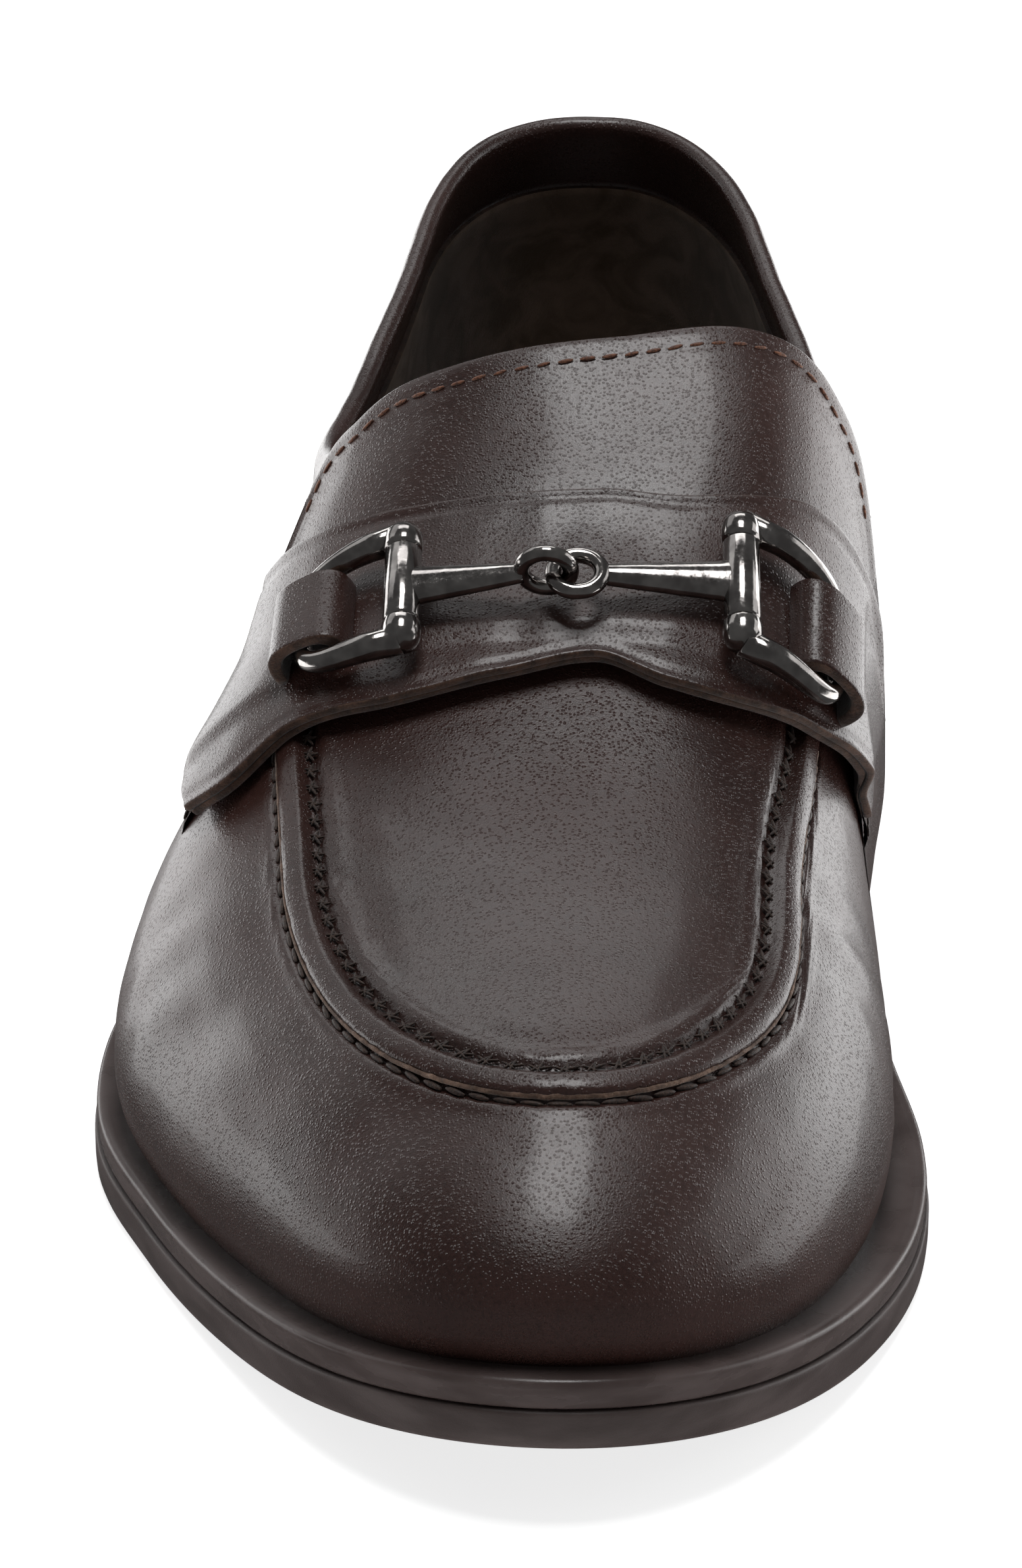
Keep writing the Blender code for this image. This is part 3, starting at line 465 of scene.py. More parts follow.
def seam_line(inset, count=600):
    """The apron seam on the form, from the lateral side round the front, set in by a distance."""
    turn = np.linspace(0, math.pi / 2, 160)
    bend = TOE_SPLIT + (SEAM_FRONT - TOE_SPLIT) * np.sin(turn)
    at = np.concatenate([np.linspace(0.575, TOE_SPLIT, 160)[:-1], bend])
    close = np.concatenate([np.ones(159), np.cos(turn)])
    centre = column(SEAM, SEAM_COLUMNS, "centre", at) * BALL_WIDTH
    half = column(SEAM, SEAM_COLUMNS, "half", at) * BALL_WIDTH * close
    plan = np.concatenate([
        np.stack([centre - half, y_at(at)], -1), np.stack([centre + half, y_at(at)], -1)[::-1][1:]])
    plan = even(plan, count)
    ahead = unit(np.gradient(plan, axis=0))
    inward = np.stack([-ahead[:, 1], ahead[:, 0]], -1)
    slope = np.stack([height(*(plan + inward * 5e-4).T) - height(*(plan - inward * 5e-4).T)], -1)[:, 0] / 1e-3
    shrink = 1 / np.sqrt(1 + slope ** 2)
    return plan + inward * (inset * shrink)[:, None]


def linear(code):
    """A colour written as an sRGB hex value, turned to linear."""
    parts = [int(code[k:k + 2], 16) / 255 for k in (1, 3, 5)]
    return tuple(p / 12.92 if p <= 0.04045 else ((p + 0.055) / 1.055) ** 2.4 for p in parts)


def add_node(material, kind, settings=None, **links):
    """Add a node: its settings, then its inputs, each a value or another node's output."""
    tree = material.node_tree
    made = tree.nodes.new(kind)
    for key, value in (settings or {}).items():
        setattr(made, key, value)
    for key, value in links.items():
        socket = made.inputs[int(key[1:])] if key[1:].isdigit() else made.inputs[key.replace("_", " ")]
        if isinstance(value, bpy.types.NodeSocket):
            tree.links.new(value, socket)
        else:
            socket.default_value = value
    return made


def new_material(name):
    """A new material and its shader, or the one of that name and no shader."""
    material = bpy.data.materials.get(name)
    if material:
        return material, None
    material = bpy.data.materials.new(name)
    material.use_nodes = True
    return material, material.node_tree.nodes["Principled BSDF"]


def place_coords(material):
    """Object coordinates, metres."""
    return add_node(material, "ShaderNodeTexCoord").outputs["Object"]


def noise(material, place, size, detail, **settings):
    """Noise on Object coordinates whose cells are a size in millimetres across."""
    return add_node(material, "ShaderNodeTexNoise", None, Vector=place, Scale=METRE / size, Detail=detail,
                    **settings).outputs["Fac"]


def combined(material, operation, *values):
    """Two or three values put together by a Math node."""
    inputs = {f"i{k}": value for k, value in enumerate(values)}
    return add_node(material, "ShaderNodeMath", {"operation": operation}, **inputs).outputs[0]


def mixed(material, share, low, high):
    """A colour between two, each a hex value or a linear colour from the panel."""
    node = add_node(material, "ShaderNodeMix", {"data_type": "RGBA"}, i0=share)
    for socket, colour in ((6, low), (7, high)):
        node.inputs[socket].default_value = (*(linear(colour) if isinstance(colour, str) else colour), 1)
    return node.outputs[2]


def ramped(material, value, low, high, to_low=0.0, to_high=1.0):
    """A value eased from one range to another."""
    node = add_node(material, "ShaderNodeMapRange", {"interpolation_type": "SMOOTHSTEP"},
                    Value=value, From_Min=low, From_Max=high, To_Min=to_low, To_Max=to_high)
    return node.outputs["Result"]


def dress(material, shader, colour, roughness, relief=(), **others):
    """Give the shader its colour, roughness, other inputs and bumps of (pattern, depth in mm) laid on each other."""
    normal_at = None
    for pattern, depth in relief:
        bump = add_node(material, "ShaderNodeBump", None, Height=pattern, Strength=1.0, Distance=depth / METRE)
        if normal_at:
            material.node_tree.links.new(normal_at, bump.inputs["Normal"])
        normal_at = bump.outputs["Normal"]
    for name, value in {"Base_Color": colour, "Roughness": roughness, "Normal": normal_at, **others}.items():
        socket = shader.inputs[name.replace("_", " ")]
        if isinstance(value, bpy.types.NodeSocket):
            material.node_tree.links.new(value, socket)
        elif value is not None:
            socket.default_value = value
    return material


def calf_leather(name, dark, light, grain=0.5, gloss=0.23, depth=0.08):
    """Corrected calf, drum dyed and finished with a clear top coat: a satin face broken up by fine pores."""
    material, shader = new_material(name)
    if shader is None:
        return material
    place = place_coords(material)
    # Pebble of the grain, half a millimetre across, with its pores and finer lines between
    pebble = add_node(material, "ShaderNodeTexVoronoi", {"feature": "SMOOTH_F1"}, Vector=place,
                      Scale=METRE / grain, Smoothness=0.35, Randomness=1.0).outputs["Distance"]
    pores = ramped(material, pebble, 0.0, 0.45, 1.0, 0.0)
    fine = noise(material, place, grain * 0.45, 3.0, Roughness=0.6)
    # Fine wrinkles that run slantwise across the hide, about 1.7 by 0.7 mm
    stretch = add_node(material, "ShaderNodeMapping", None, Vector=place, Rotation=(0.5, 0.35, 0.6),
                       Scale=(1.0, 2.4, 1.5)).outputs["Vector"]
    lines = noise(material, stretch, 1.7, 4.0, Roughness=0.62, Distortion=0.6)
    # Dye is a little uneven over a few centimetres, and the valleys of the grain are darkened with painted shade
    cloud = noise(material, place, 34, 3.0)
    mottle = noise(material, place, 5, 4.0)
    tone = combined(material, "MULTIPLY_ADD", mottle, 0.35, ramped(material, cloud, 0.3, 0.7, 0.0, 0.6))
    # Painted shade: the colour is multiplied towards a grey brown in the valleys between the grain's cells
    colour_with_painted_shade = add_node(material, "ShaderNodeMix", {"data_type": "RGBA", "blend_type": "MULTIPLY"},
                       i0=ramped(material, pebble, 0.55, 0.85, 0.0, 0.35), i6=mixed(material, tone, dark, light),
                       i7=(*linear("#8a7f78"), 1)).outputs[2]
    patchy = ramped(material, cloud, 0.3, 0.7, gloss - 0.04, gloss + 0.05)
    rough = combined(material, "MULTIPLY_ADD", fine, 0.10, patchy)
    return dress(material, shader, colour_with_painted_shade, rough, ((lines, depth * 0.5), (pores, depth * 1.2), (fine, depth * 0.7)),
                 IOR=1.5, Specular_IOR_Level=0.5, Coat_Weight=0.20, Coat_Roughness=0.16)


def cut_edge(name="leather_cut_edge", dark="#2a1a12", light="#5a4032"):
    """Vegetable fibre of a knife cut through hide: matt, lighter than the face, ragged along the cut."""
    material, shader = new_material(name)
    if shader is None:
        return material
    place = place_coords(material)
    fibre = noise(material, place, 0.35, 5.0, Roughness=0.75)
    tone = combined(material, "MULTIPLY", fibre, noise(material, place, 2.4, 3.0))
    colour = mixed(material, ramped(material, tone, 0.12, 0.42), dark, light)
    return dress(material, shader, colour, 0.86, ((fibre, 0.22),), Specular_IOR_Level=0.2, Sheen_Weight=0.25,
                 Sheen_Roughness=0.5)


def suede(name, dark, light, nap=0.4):
    """Buffed flesh side of the hide: a short dark nap that takes no highlight and shows brushed patches."""
    material, shader = new_material(name)
    if shader is None:
        return material
    place = place_coords(material)
    brushed = noise(material, place, 9, 4.0, Distortion=1.2)
    colour = mixed(material, ramped(material, brushed, 0.32, 0.7), dark, light)
    return dress(material, shader, colour, 0.95, ((noise(material, place, nap, 5.0, Roughness=0.8), 0.25),),
                 Specular_IOR_Level=0.12, Sheen_Weight=0.35, Sheen_Roughness=0.45)


def waxed_thread(name, dark, light):
    """Plied polyester thread, waxed: tight plies with a low sheen."""
    material, shader = new_material(name)
    if shader is None:
        return material
    plies = noise(material, place_coords(material), 0.3, 3.0)
    colour = mixed(material, ramped(material, plies, 0.35, 0.65), dark, light)
    return dress(material, shader, colour, 0.55, ((plies, 0.12),), Specular_IOR_Level=0.35, Sheen_Weight=0.2)


def moulded_rubber(name, dark, light, gloss=0.52, speckle=0.3):
    """Moulded sole rubber, spark eroded in the mould: a close matt skin with faint flow marks and dust."""
    material, shader = new_material(name)
    if shader is None:
        return material
    place = place_coords(material)
    skin = noise(material, place, 0.3, 4.0, Roughness=0.7)
    flow = add_node(material, "ShaderNodeMapping", None, Vector=place, Scale=(1.0, 1.0, 4.0)).outputs["Vector"]
    marks = noise(material, flow, 14, 4.0, Roughness=0.55)
    colour = mixed(material, ramped(material, marks, 0.3, 0.7), dark, light)
    rough = ramped(material, marks, 0.3, 0.7, gloss - 0.05, gloss + 0.07)
    return dress(material, shader, colour, rough, ((marks, 0.12), (skin, speckle * 0.12)), IOR=1.5,
                 Specular_IOR_Level=0.4)


def black_nickel(light, name="polished_black_nickel"):
    """Cast zinc plated in black nickel and tumbled: a dark mirror with soft waves and fine rub marks."""
    material, shader = new_material(name)
    if shader is None:
        return material
    place = place_coords(material)
    waves = noise(material, place, 2.8, 2.0)
    rubs = noise(material, place, 0.5, 6.0, Roughness=0.7)
    colour = mixed(material, ramped(material, waves, 0.35, 0.7), "#8e8a88", light)
    return dress(material, shader, colour, ramped(material, rubs, 0.35, 0.75, 0.08, 0.22),
                 ((waves, 0.05), (rubs, 0.006)), Metallic=1.0)


def face_leather(context, name):
    """The dyed face of the hide in the panel's colours, grain and gloss."""
    look = context.scene.loafer
    return calf_leather(name, look.leather_shade, look.leather_colour, look.grain, look.gloss)


def leather_looks(context):
    """Face, cut edge and flesh side of the strap leather."""
    return [face_leather(context, "calf_strap"), cut_edge(), suede("flesh_suede", "#1c1310", "#30231d")]


def add_grid(body, points, wrap=False, slot=0):
    """Put a flat grid into the mesh and move its points to their places; returns its vertices."""
    if wrap:
        points = np.concatenate([points, points[:, :1]], axis=1)
    rows, columns = points.shape[:2]
    verts = bmesh.ops.create_grid(body, x_segments=columns - 1, y_segments=rows - 1, size=0.5)["verts"]
    for vert in verts:
        vert.co = points[round((vert.co.y + 0.5) * (rows - 1)), round((vert.co.x + 0.5) * (columns - 1))]
    for face in {face for vert in verts for face in vert.link_faces}:
        face.material_index = slot
    if wrap:
        bmesh.ops.remove_doubles(body, verts=[vert for vert in verts if vert.is_boundary], dist=MERGE)
        verts = [vert for vert in verts if vert.is_valid]
    return verts


def finish_piece(name, body, materials):
    """Close off a mesh: faces outward and smooth, its materials, and its ride on the shoe."""
    bmesh.ops.recalc_face_normals(body, faces=body.faces)
    for face in body.faces:
        face.smooth = True
    mesh = bpy.data.meshes.new(name)
    body.to_mesh(mesh)
    body.free()
    for material in materials:
        mesh.materials.append(material)
    piece = bpy.data.objects.new(name, mesh)
    bpy.context.scene.collection.objects.link(piece)
    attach(piece, "root")
    return piece


def slab(name, top, under, materials, round_by, segments=3):
    """A cut sheet of leather between its face and its back, its rim bridged and rounded."""
    body = bmesh.new()
    add_grid(body, top, slot=0)
    add_grid(body, under, slot=2)
    rims = [edge for edge in body.edges if edge.is_boundary]
    made = bmesh.ops.bridge_loops(body, edges=rims)
    for face in made["faces"]:
        face.material_index = 1
    bmesh.ops.recalc_face_normals(body, faces=body.faces)
    rims = [edge for edge in rims if edge.is_valid]
    bmesh.ops.bevel(body, geom=rims, offset=round_by, segments=segments, affect="EDGES", profile=0.5, material=-1)
    return finish_piece(name, body, materials)


def tube_grid(path, radii, sides, up, closed):
    """Rings of points round a path, flattened by a pair of radii for each point."""
    path = np.asarray(path, float)
    ahead = np.roll(path, -1, axis=0) - np.roll(path, 1, axis=0) if closed else np.gradient(path, axis=0)
    ahead = unit(ahead)
    flat = unit(np.cross(ahead, np.broadcast_to(np.asarray(up, float), path.shape)))
    high = np.cross(flat, ahead)
    turn = np.linspace(0, 2 * math.pi, sides, endpoint=False)
    radii = np.broadcast_to(np.asarray(radii, float), (len(path), 2))
    return path[:, None] + (flat[:, None] * (radii[:, :1] * np.cos(turn))[..., None]
                            + high[:, None] * (radii[:, 1:] * np.sin(turn))[..., None])


def add_tube(body, path, radii, sides, up, closed=False):
    """A tube along a path, its ends filled unless it closes on itself."""
    rings = tube_grid(path, radii, sides, up, closed)
    if closed:
        rings = np.concatenate([rings, rings[:1]])
    verts = add_grid(body, rings, wrap=True)
    if closed:
        bmesh.ops.remove_doubles(body, verts=verts, dist=MERGE)
        return
    open_edges = [edge for edge in {e for v in verts for e in v.link_edges} if edge.is_boundary]
    bmesh.ops.holes_fill(body, edges=open_edges, sides=0)


def add_stitch(body, centre, ahead, up, length, width, thick):
    """One stitch: a small round bead drawn out along the thread."""
    ahead = Vector(ahead).normalized()
    side = Vector(up).cross(ahead).normalized()
    high = ahead.cross(side)
    turn = Matrix((ahead * (length / 2), side * (width / 2), high * (thick / 2))).transposed().to_4x4()
    turn.translation = Vector(centre)
    turn = turn @ Matrix.Rotation(math.pi / 2, 4, "Y")
    bmesh.ops.create_uvsphere(body, u_segments=8, v_segments=6, radius=1.0, matrix=turn)


def stitch_line(body, plan, lift, pitch, length, width, thick, lean, seed, start=0.0):
    """A row of stitches along a line over the form, each leaning across the line."""
    points = on_plan(plan, np.full(len(plan), lift))
    total = travelled(points)[-1]
    rng = np.random.default_rng(seed)
    count = int(total / pitch)
    at = (np.arange(count) + 0.5 + start * 0.5) * total / count
    places = along_line(points, at)
    rear, front = (along_line(points, np.clip(at + step, 0, total)) for step in (-4e-4, 4e-4))
    for place, ahead, high in zip(places, unit(front - rear), normal(places[:, 0], places[:, 1])):
        side = np.cross(high, ahead)
        turn = lean + rng.normal(0, 0.06)
        ahead = ahead * math.cos(turn) + side * math.sin(turn)
        size = 1 + rng.normal(0, 0.05)
        add_stitch(body, place, ahead, high, length * size, width * size, thick)


def crease_depth(x, y):
    """How far the worn creases sink the leather at a plan point."""
    depth = np.zeros_like(x)
    for from_station, from_across, to_station, to_across, deep, wide in CREASES:
        start = np.array([from_across * BALL_WIDTH, y_at(from_station)])
        end = np.array([to_across * BALL_WIDTH, y_at(to_station)])
        line = end - start
        share = ((x - start[0]) * line[0] + (y - start[1]) * line[1]) / (line @ line)
        near = np.clip(share, 0, 1)
        bow = 0.08 * np.sin(near * math.pi)
        away = np.hypot(x - start[0] - near * line[0] + bow * line[1], y - start[1] - near * line[1] - bow * line[0])
        taper = np.sin(math.pi * np.clip(0.5 + (share - 0.5) * 0.72, 0, 1)) ** 1.5
        depth += deep / METRE * hump(away * METRE, 0, wide) * taper
    return depth


def wobble(points, size, seed):
    """A slow unevenness of hand lasted leather, between -1 and 1."""
    rng = np.random.default_rng(seed)
    total = np.zeros(points.shape[:-1])
    for _ in range(7):
        wave = rng.normal(0, 1, 3) * 2 * math.pi / size
        total += np.sin(points @ wave + rng.uniform(0, 2 * math.pi))
    return total / 7 ** 0.5 / 1.6


def plan_wobble(plan, size, seed):
    """A slow unevenness over plan points."""
    return wobble(np.dstack([plan, plan[..., :1]]), size, seed)


def round_stations(toe_margin, heel_margin, turns, sides):
    """Stations from the heel's back to the toe's tip, close together where the plan turns."""
    t = np.linspace(0, math.pi / 2, turns)
    heel = HEEL_SPLIT - (HEEL_SPLIT - heel_margin / LENGTH) * np.cos(t) ** (2 / HEEL_POWER)
    toe = TOE_SPLIT + (1 - TOE_SPLIT - toe_margin / LENGTH) * np.sin(t) ** (2 / TOE_POWER)
    return np.concatenate([heel, np.linspace(HEEL_SPLIT, TOE_SPLIT, sides)[1:-1], toe])


def upper_lines(columns):
    """Matching points of the widest line and the collar edge, round the whole shoe."""
    low, top = [], []
    for side in (-1, 1):
        at = round_stations(TOE_MARGIN, HEEL_MARGIN, 120, 480)
        widest_line = side_point(side, at, np.ones_like(at))
        back = np.linspace(HEEL_MARGIN / LENGTH, HEEL_SPLIT, 900)
        free = back[end_share(back, TOE_MARGIN, HEEL_MARGIN) <= topline_gauge(side, back)]
        close = THROAT_SIDE + (THROAT - THROAT_SIDE) * np.sin(np.linspace(0, math.pi / 2, 120))
        rim = np.concatenate([free, np.linspace(HEEL_SPLIT, THROAT_SIDE, 400)[1:-1], close])
        collar = side_point(side, rim, topline_gauge(side, rim))
        low.append(even(widest_line, columns + 1))
        warp = np.interp(np.linspace(0, 1, columns + 1), [0, 0.5, 1], [0, 0.72, 1])
        top.append(along_line(collar, warp * travelled(collar)[-1]))
    return [np.concatenate([line[0][:-1], line[1][::-1][:-1]]) for line in (low, top)]


def seam_place(points, seam):
    """Distance inside the apron seam's outer edge, and distance along it, of points on the form."""
    inside = np.full(points.shape[:-1], -1.0)
    along = np.zeros(points.shape[:-1])
    level = seam_gauge(points[..., 0], points[..., 1])
    near = (np.abs(level - 1) < 0.5) & (station_at(points[..., 1]) > 0.57)
    spots = points[near]
    length = travelled(seam)
    best = np.empty(len(spots), int)
    for k in range(0, len(spots), 2000):
        gap = ((spots[k:k + 2000, None] - seam[None]) ** 2).sum(-1)
        best[k:k + 2000] = gap.argmin(1)
    away = np.linalg.norm(spots - seam[best], axis=1)
    inside[near] = away * np.where(level[near] < 1, 1, -1)
    along[near] = length[best]
    return inside, along


def seam_relief(inside, along):
    """Height of the raised roll, its two grooves and the puckers that the stitches pull, metres."""
    d = inside * METRE
    pull = np.sin(along * METRE * 2 * math.pi / APRON_PITCH)
    relief = 1.45 * smooth(d / 0.5) * smooth((4.7 - d) / 1.5) * (1 - 0.06 * (d - 2.2) ** 2)
    for high, place, wide in SEAM_FURROWS:
        relief = relief + high * hump(d, place, wide)
    for high, place, wide in SEAM_PUCKERS:
        relief = relief + high * pull * hump(d, place, wide)
    # Thread bites into both edges of the roll
    relief -= 0.14 * (0.5 + 0.5 * pull) ** 3 * hump(d, 4.3, 0.6)
    relief -= 0.22 * (0.5 - 0.5 * pull) ** 4 * hump(d, 0.35, 0.5)
    # Fine wrinkles in the gathered leather inside it
    relief += 0.05 * np.sin(along * METRE * 2 * math.pi / 1.1 + 2.2 * np.sin(d * 1.3)) * hump(d, 7.0, 1.6)
    return relief * np.clip(1 - (np.abs(d - 2.5) - 10) / 3, 0, 1) / METRE


def upper_plans():
    """Plan rows of the outside and the inside, their distances below the collar and the columns' stations."""
    low, top = upper_lines(UPPER_COLUMNS)
    warp = 1 - np.cos(np.linspace(0, math.pi / 2, 260))
    outer_plan, inner_plan, below_outer, below_inner, around = [], [], [], [], []
    for start, end in zip(low, top):
        plan = start + (end - start) * warp[:, None]
        length = travelled(np.column_stack([plan, height(plan[:, 0], plan[:, 1])]))
        total = length[-1]
        station = float(station_at(start[1]))
        fore = float(smooth((station - 0.50) / 0.12))
        inside = np.nonzero(seam_gauge(plan[:, 0], plan[:, 1]) < 1)[0]
        first = length[inside[0]] if len(inside) else 0.45 * total
        front = (max(first - 0.006, 0.002), min(first + 0.014, 0.93 * total))
        rear = (0.45 * total, 0.6 * total)
        band = [rear[k] + (front[k] - rear[k]) * fore for k in (0, 1)]
        # Rows crowd together where the apron seam crosses the column
        bounds = (0, *band, total)
        at = np.concatenate([[0]] + [
            np.linspace(*bounds[k:k + 2], count)[1:] for k, count in enumerate(OUTER_ROWS)])
        down = np.concatenate([np.linspace(0, FACING, FACING_ROWS), np.linspace(FACING, total, LINING_ROWS)])
        outer_plan.append(start + (end - start) * np.interp(at, length, warp)[:, None])
        inner_plan.append(start + (end - start) * np.interp(total - down, length, warp)[:, None])
        below_outer.append(total - at)
        below_inner.append(down)
        around.append(station)
    return [np.stack(rows, 1) for rows in (outer_plan, inner_plan, below_outer, below_inner)] + [np.array(around)]


def upper_grid():
    """All rows of the upper: feather edge, outside, rolled collar, facing and lining; and the facing's last row."""
    outer_plan, inner_plan, below_outer, below_inner, around = upper_plans()
    surface = on_plan(outer_plan, np.zeros(outer_plan.shape[:2]))
    base = surface[0]
    ahead = np.roll(base, -1, axis=0) - np.roll(base, 1, axis=0)
    out = unit(np.stack([-ahead[:, 1], ahead[:, 0], np.zeros(len(base))], -1))
    out *= np.sign(((base - base.mean(0)) * out).sum(1))[:, None]
    # The leather turns in under its widest line
    turn = math.radians(60)
    tuck = []
    for angle in np.linspace(turn, 0, FACING_ROWS)[:-1]:
        inset = TUCK * (1 - math.cos(angle)) / (1 - math.cos(turn))
        drop = (BULGE_HEIGHT + 0.0004) * math.sin(angle) / math.sin(turn)
        tuck.append(base - out * inset - np.array([0, 0, drop]))
    tuck = np.stack(tuck)
    outer = np.concatenate([tuck, surface])
    face = unit(np.cross(np.roll(outer, -1, axis=1) - np.roll(outer, 1, axis=1), np.gradient(outer, axis=0)))
    face *= np.sign((face[len(tuck)] * out).sum())
    inside, along = seam_place(surface, on_plan(seam_line(0.0, 1400), np.zeros(1400)))
    collar = smooth((0.455 - around) / 0.05)
    lift = seam_relief(inside, along) * smooth((station_at(surface[..., 1]) - 0.60) / 0.03)
    lift -= crease_depth(surface[..., 0], surface[..., 1])
    roll = np.sin(0.75 * math.pi * np.clip(1 - below_outer / COLLAR_ROLL, 0, 1)) * COLLAR_RAISE
    tucked = 0.00035 * hump(below_outer, COLLAR_ROLL, 0.0007)
    row = 0.00022 * hump(below_outer, COLLAR_STITCH, 0.0006)
    lift += (roll - tucked - row) * collar
    lift += 0.00016 * wobble(surface, 0.045, 5) + 0.00005 * wobble(surface, 0.014, 8)
    outer[len(tuck):] += face[len(tuck):] * lift[..., None]
    thick = WALL + COLLAR_PAD * collar
    # The collar's edge is rolled over in a half round
    rim = outer[-1]
    rim_out = face[-1]
    rim_up = unit(outer[-1] - outer[-2])
    rim_up = unit(rim_up - rim_out * (rim_up * rim_out).sum(-1, keepdims=True))
    heart = rim - rim_out * (thick / 2)[:, None]
    caps = [heart + (rim_out * math.cos(a) + rim_up * math.sin(a)) * (thick / 2)[:, None]
            for a in np.linspace(0, math.pi, 10)[1:-1]]
    fade = smooth(1 - below_inner / FACING)
    raise_in = COLLAR_RAISE * math.sin(0.75 * math.pi) * collar * fade
    depth = WALL + COLLAR_PAD * collar * fade - raise_in
    depth[FACING_ROWS:] += LINING_THICK * collar
    back = on_plan(inner_plan, -depth)
    inner_tuck = (tuck - out * WALL)[::-1]
    inner_tuck = inner_tuck - out * (LINING_THICK * collar)[:, None]
    rows = np.concatenate([outer, np.stack(caps), back[1:], inner_tuck])
    return rows, len(outer) + len(caps) + FACING_ROWS - 2


def tongue_end(side, station):
    """How far down each side the tongue reaches; its medial corner shows behind the strap."""
    ear = TONGUE_EAR * smooth((EAR_FRONT - station) / (EAR_FRONT - EAR_BACK))
    return np.where(side < 0, TONGUE_END_LATERAL, TONGUE_END_MEDIAL + ear)


def strap_end(side, station):
    """How far down each side the strap reaches."""
    end = np.where(side < 0, STRAP_END_LATERAL, STRAP_END_MEDIAL)
    return gauge_of_height(side, station, end)


def patch_grid(table, reach_end, rows, columns):
    """Plan points of a sheet between two edges of a table, with its reach, stations, levels and shares."""
    reach = np.linspace(-1, 1, columns)
    reach = (reach + np.sin(reach * math.pi / 2)) / 2
    front = column(table, EDGE_COLUMNS, "front", reach)
    rear = column(table, EDGE_COLUMNS, "rear", reach)
    share = np.linspace(0, 1, rows)[:, None]
    station = front + (rear - front) * share
    level = np.abs(reach) * reach_end(reach, station)
    plan = np.where((reach < 0)[None, :, None], side_point(-1, station, level), side_point(1, station, level))
    return plan, np.broadcast_to(np.sign(reach), station.shape), station, level, share


def sole_stations(toe_margin, heel_margin, front):
    """Stations from the heel back to the toe tip, or to a cut, spaced evenly round the plan."""
    dense = round_stations(toe_margin, heel_margin, 90, 300)
    if front is not None:
        dense = np.append(dense[dense < front], front)
    plan = np.stack(edge_point(-1, dense, "sole", toe_margin, heel_margin), -1)
    length = travelled(plan)
    return np.interp(np.linspace(0, length[-1], SOLE_COLUMNS), length, dense)


def sole_plate(name, piece, margins, edge, materials, foot=underside, lift=0.0, front=None):
    """A sole layer: an edge of (in, up) in mm round the plan, over a foot, its two faces laid across as grids."""
    at = sole_stations(*margins, front)
    sides = [np.stack(edge_point(side, at, piece, *margins), -1) for side in (-1, 1)]
    loop = np.concatenate([sides[0], sides[1][::-1]])
    around = np.concatenate([at, at[::-1]])
    before, after = np.roll(loop, 1, axis=0), np.roll(loop, -1, axis=0)
    before[0], after[-1] = loop[-2], loop[1]
    tip = len(at)
    after[tip - 1] = loop[tip + 1] if front is None else loop[tip - 1]
    before[tip] = loop[tip - 2] if front is None else loop[tip]
    out = after - before
    out = unit(np.stack([out[:, 1], -out[:, 0]], -1))
    out *= np.sign(((loop - loop.mean(0)) * out).sum(1))[:, None]
    rings = []
    for inset, rise in edge:
        plan = loop - out * inset / METRE
        if front is not None:
            plan[:, 1] = np.maximum(plan[:, 1], y_at(front) + inset / METRE)
        rings.append(np.column_stack([plan, foot(around) + (lift + rise) / METRE]))
    rings = np.stack(rings)
    body = bmesh.new()
    # A second material is the tread, on the foot and its first bevel
    tread = len(materials) - 1
    if tread:
        add_grid(body, rings[:2], wrap=True, slot=tread)
    add_grid(body, rings[tread:], wrap=True)
    share = np.linspace(0, 1, SOLE_ACROSS)[None, :, None]
    for ring, slot in ((rings[0], tread), (rings[-1], 0)):
        left, right = ring[:tip][:, None], ring[tip:][::-1][:, None]
        add_grid(body, left + (right - left) * share, slot=slot)
    bmesh.ops.remove_doubles(body, verts=body.verts, dist=1e-6)
    return finish_piece(name, body, materials)


def strap_levels(side, station, level, share):
    """Under and upper distance of the strap: it lies on the tongue and steps down beyond it."""
    down = smooth((tongue_end(side, station) + LANDING_PLAY + LANDING - level) / LANDING)
    ahead = smooth((TONGUE_FRONT + FORE_LANDING - station) / (FORE_LANDING - LANDING_PLAY))
    over_seam = 2 * GAP + SEAM_RAISE * smooth((station - TONGUE_FRONT) / FORE_LANDING)
    on_tongue = TONGUE_THICK + 2 * GAP
    under = over_seam + (on_tongue - over_seam) * down * ahead
    thick = STRAP_FRONT_THICK + (STRAP_REAR_THICK - STRAP_FRONT_THICK) * smooth(share / REAR_SHARE)
    thick = STRAP_END_THICK + (thick - STRAP_END_THICK) * down
    return under, under + thick


def strap_top():
    """Distance of the strap's face from the form, over the tongue."""
    return TONGUE_THICK + 2 * GAP + STRAP_FRONT_THICK


def across_form(x0, y, distance):
    """Plan x at a distance measured over the form from x0, at one y."""
    line = np.linspace(x0 - 0.04, x0 + 0.04, 401)
    rise = height(line, np.full_like(line, y))
    length = np.append(0, np.cumsum(np.hypot(np.diff(line), np.diff(rise))))
    length -= np.interp(x0, line, length)
    return float(np.interp(distance, length, line))


def bit_point(origin, side, out, ahead, lift):
    """A point of the bit: out from its barrel, ahead of it and above the form."""
    y = float(y_at(origin[1])) - ahead
    x = across_form(origin[0] * BALL_WIDTH, y, side * out)
    return on_form(np.array(x), np.array(y), np.array(lift))


def bit_lift():
    """Distance of the barrels' middle from the form."""
    return strap_top() + 2 * GAP + CAP_RADIUS


def barrel(side, origin):
    """Middle and forward direction of the straight pin under a sleeve."""
    rear, front = (bit_point(origin, side, 0, sign * BOW_HALF, bit_lift()) for sign in (-1, 1))
    return (rear + front) / 2, unit(front - rear)


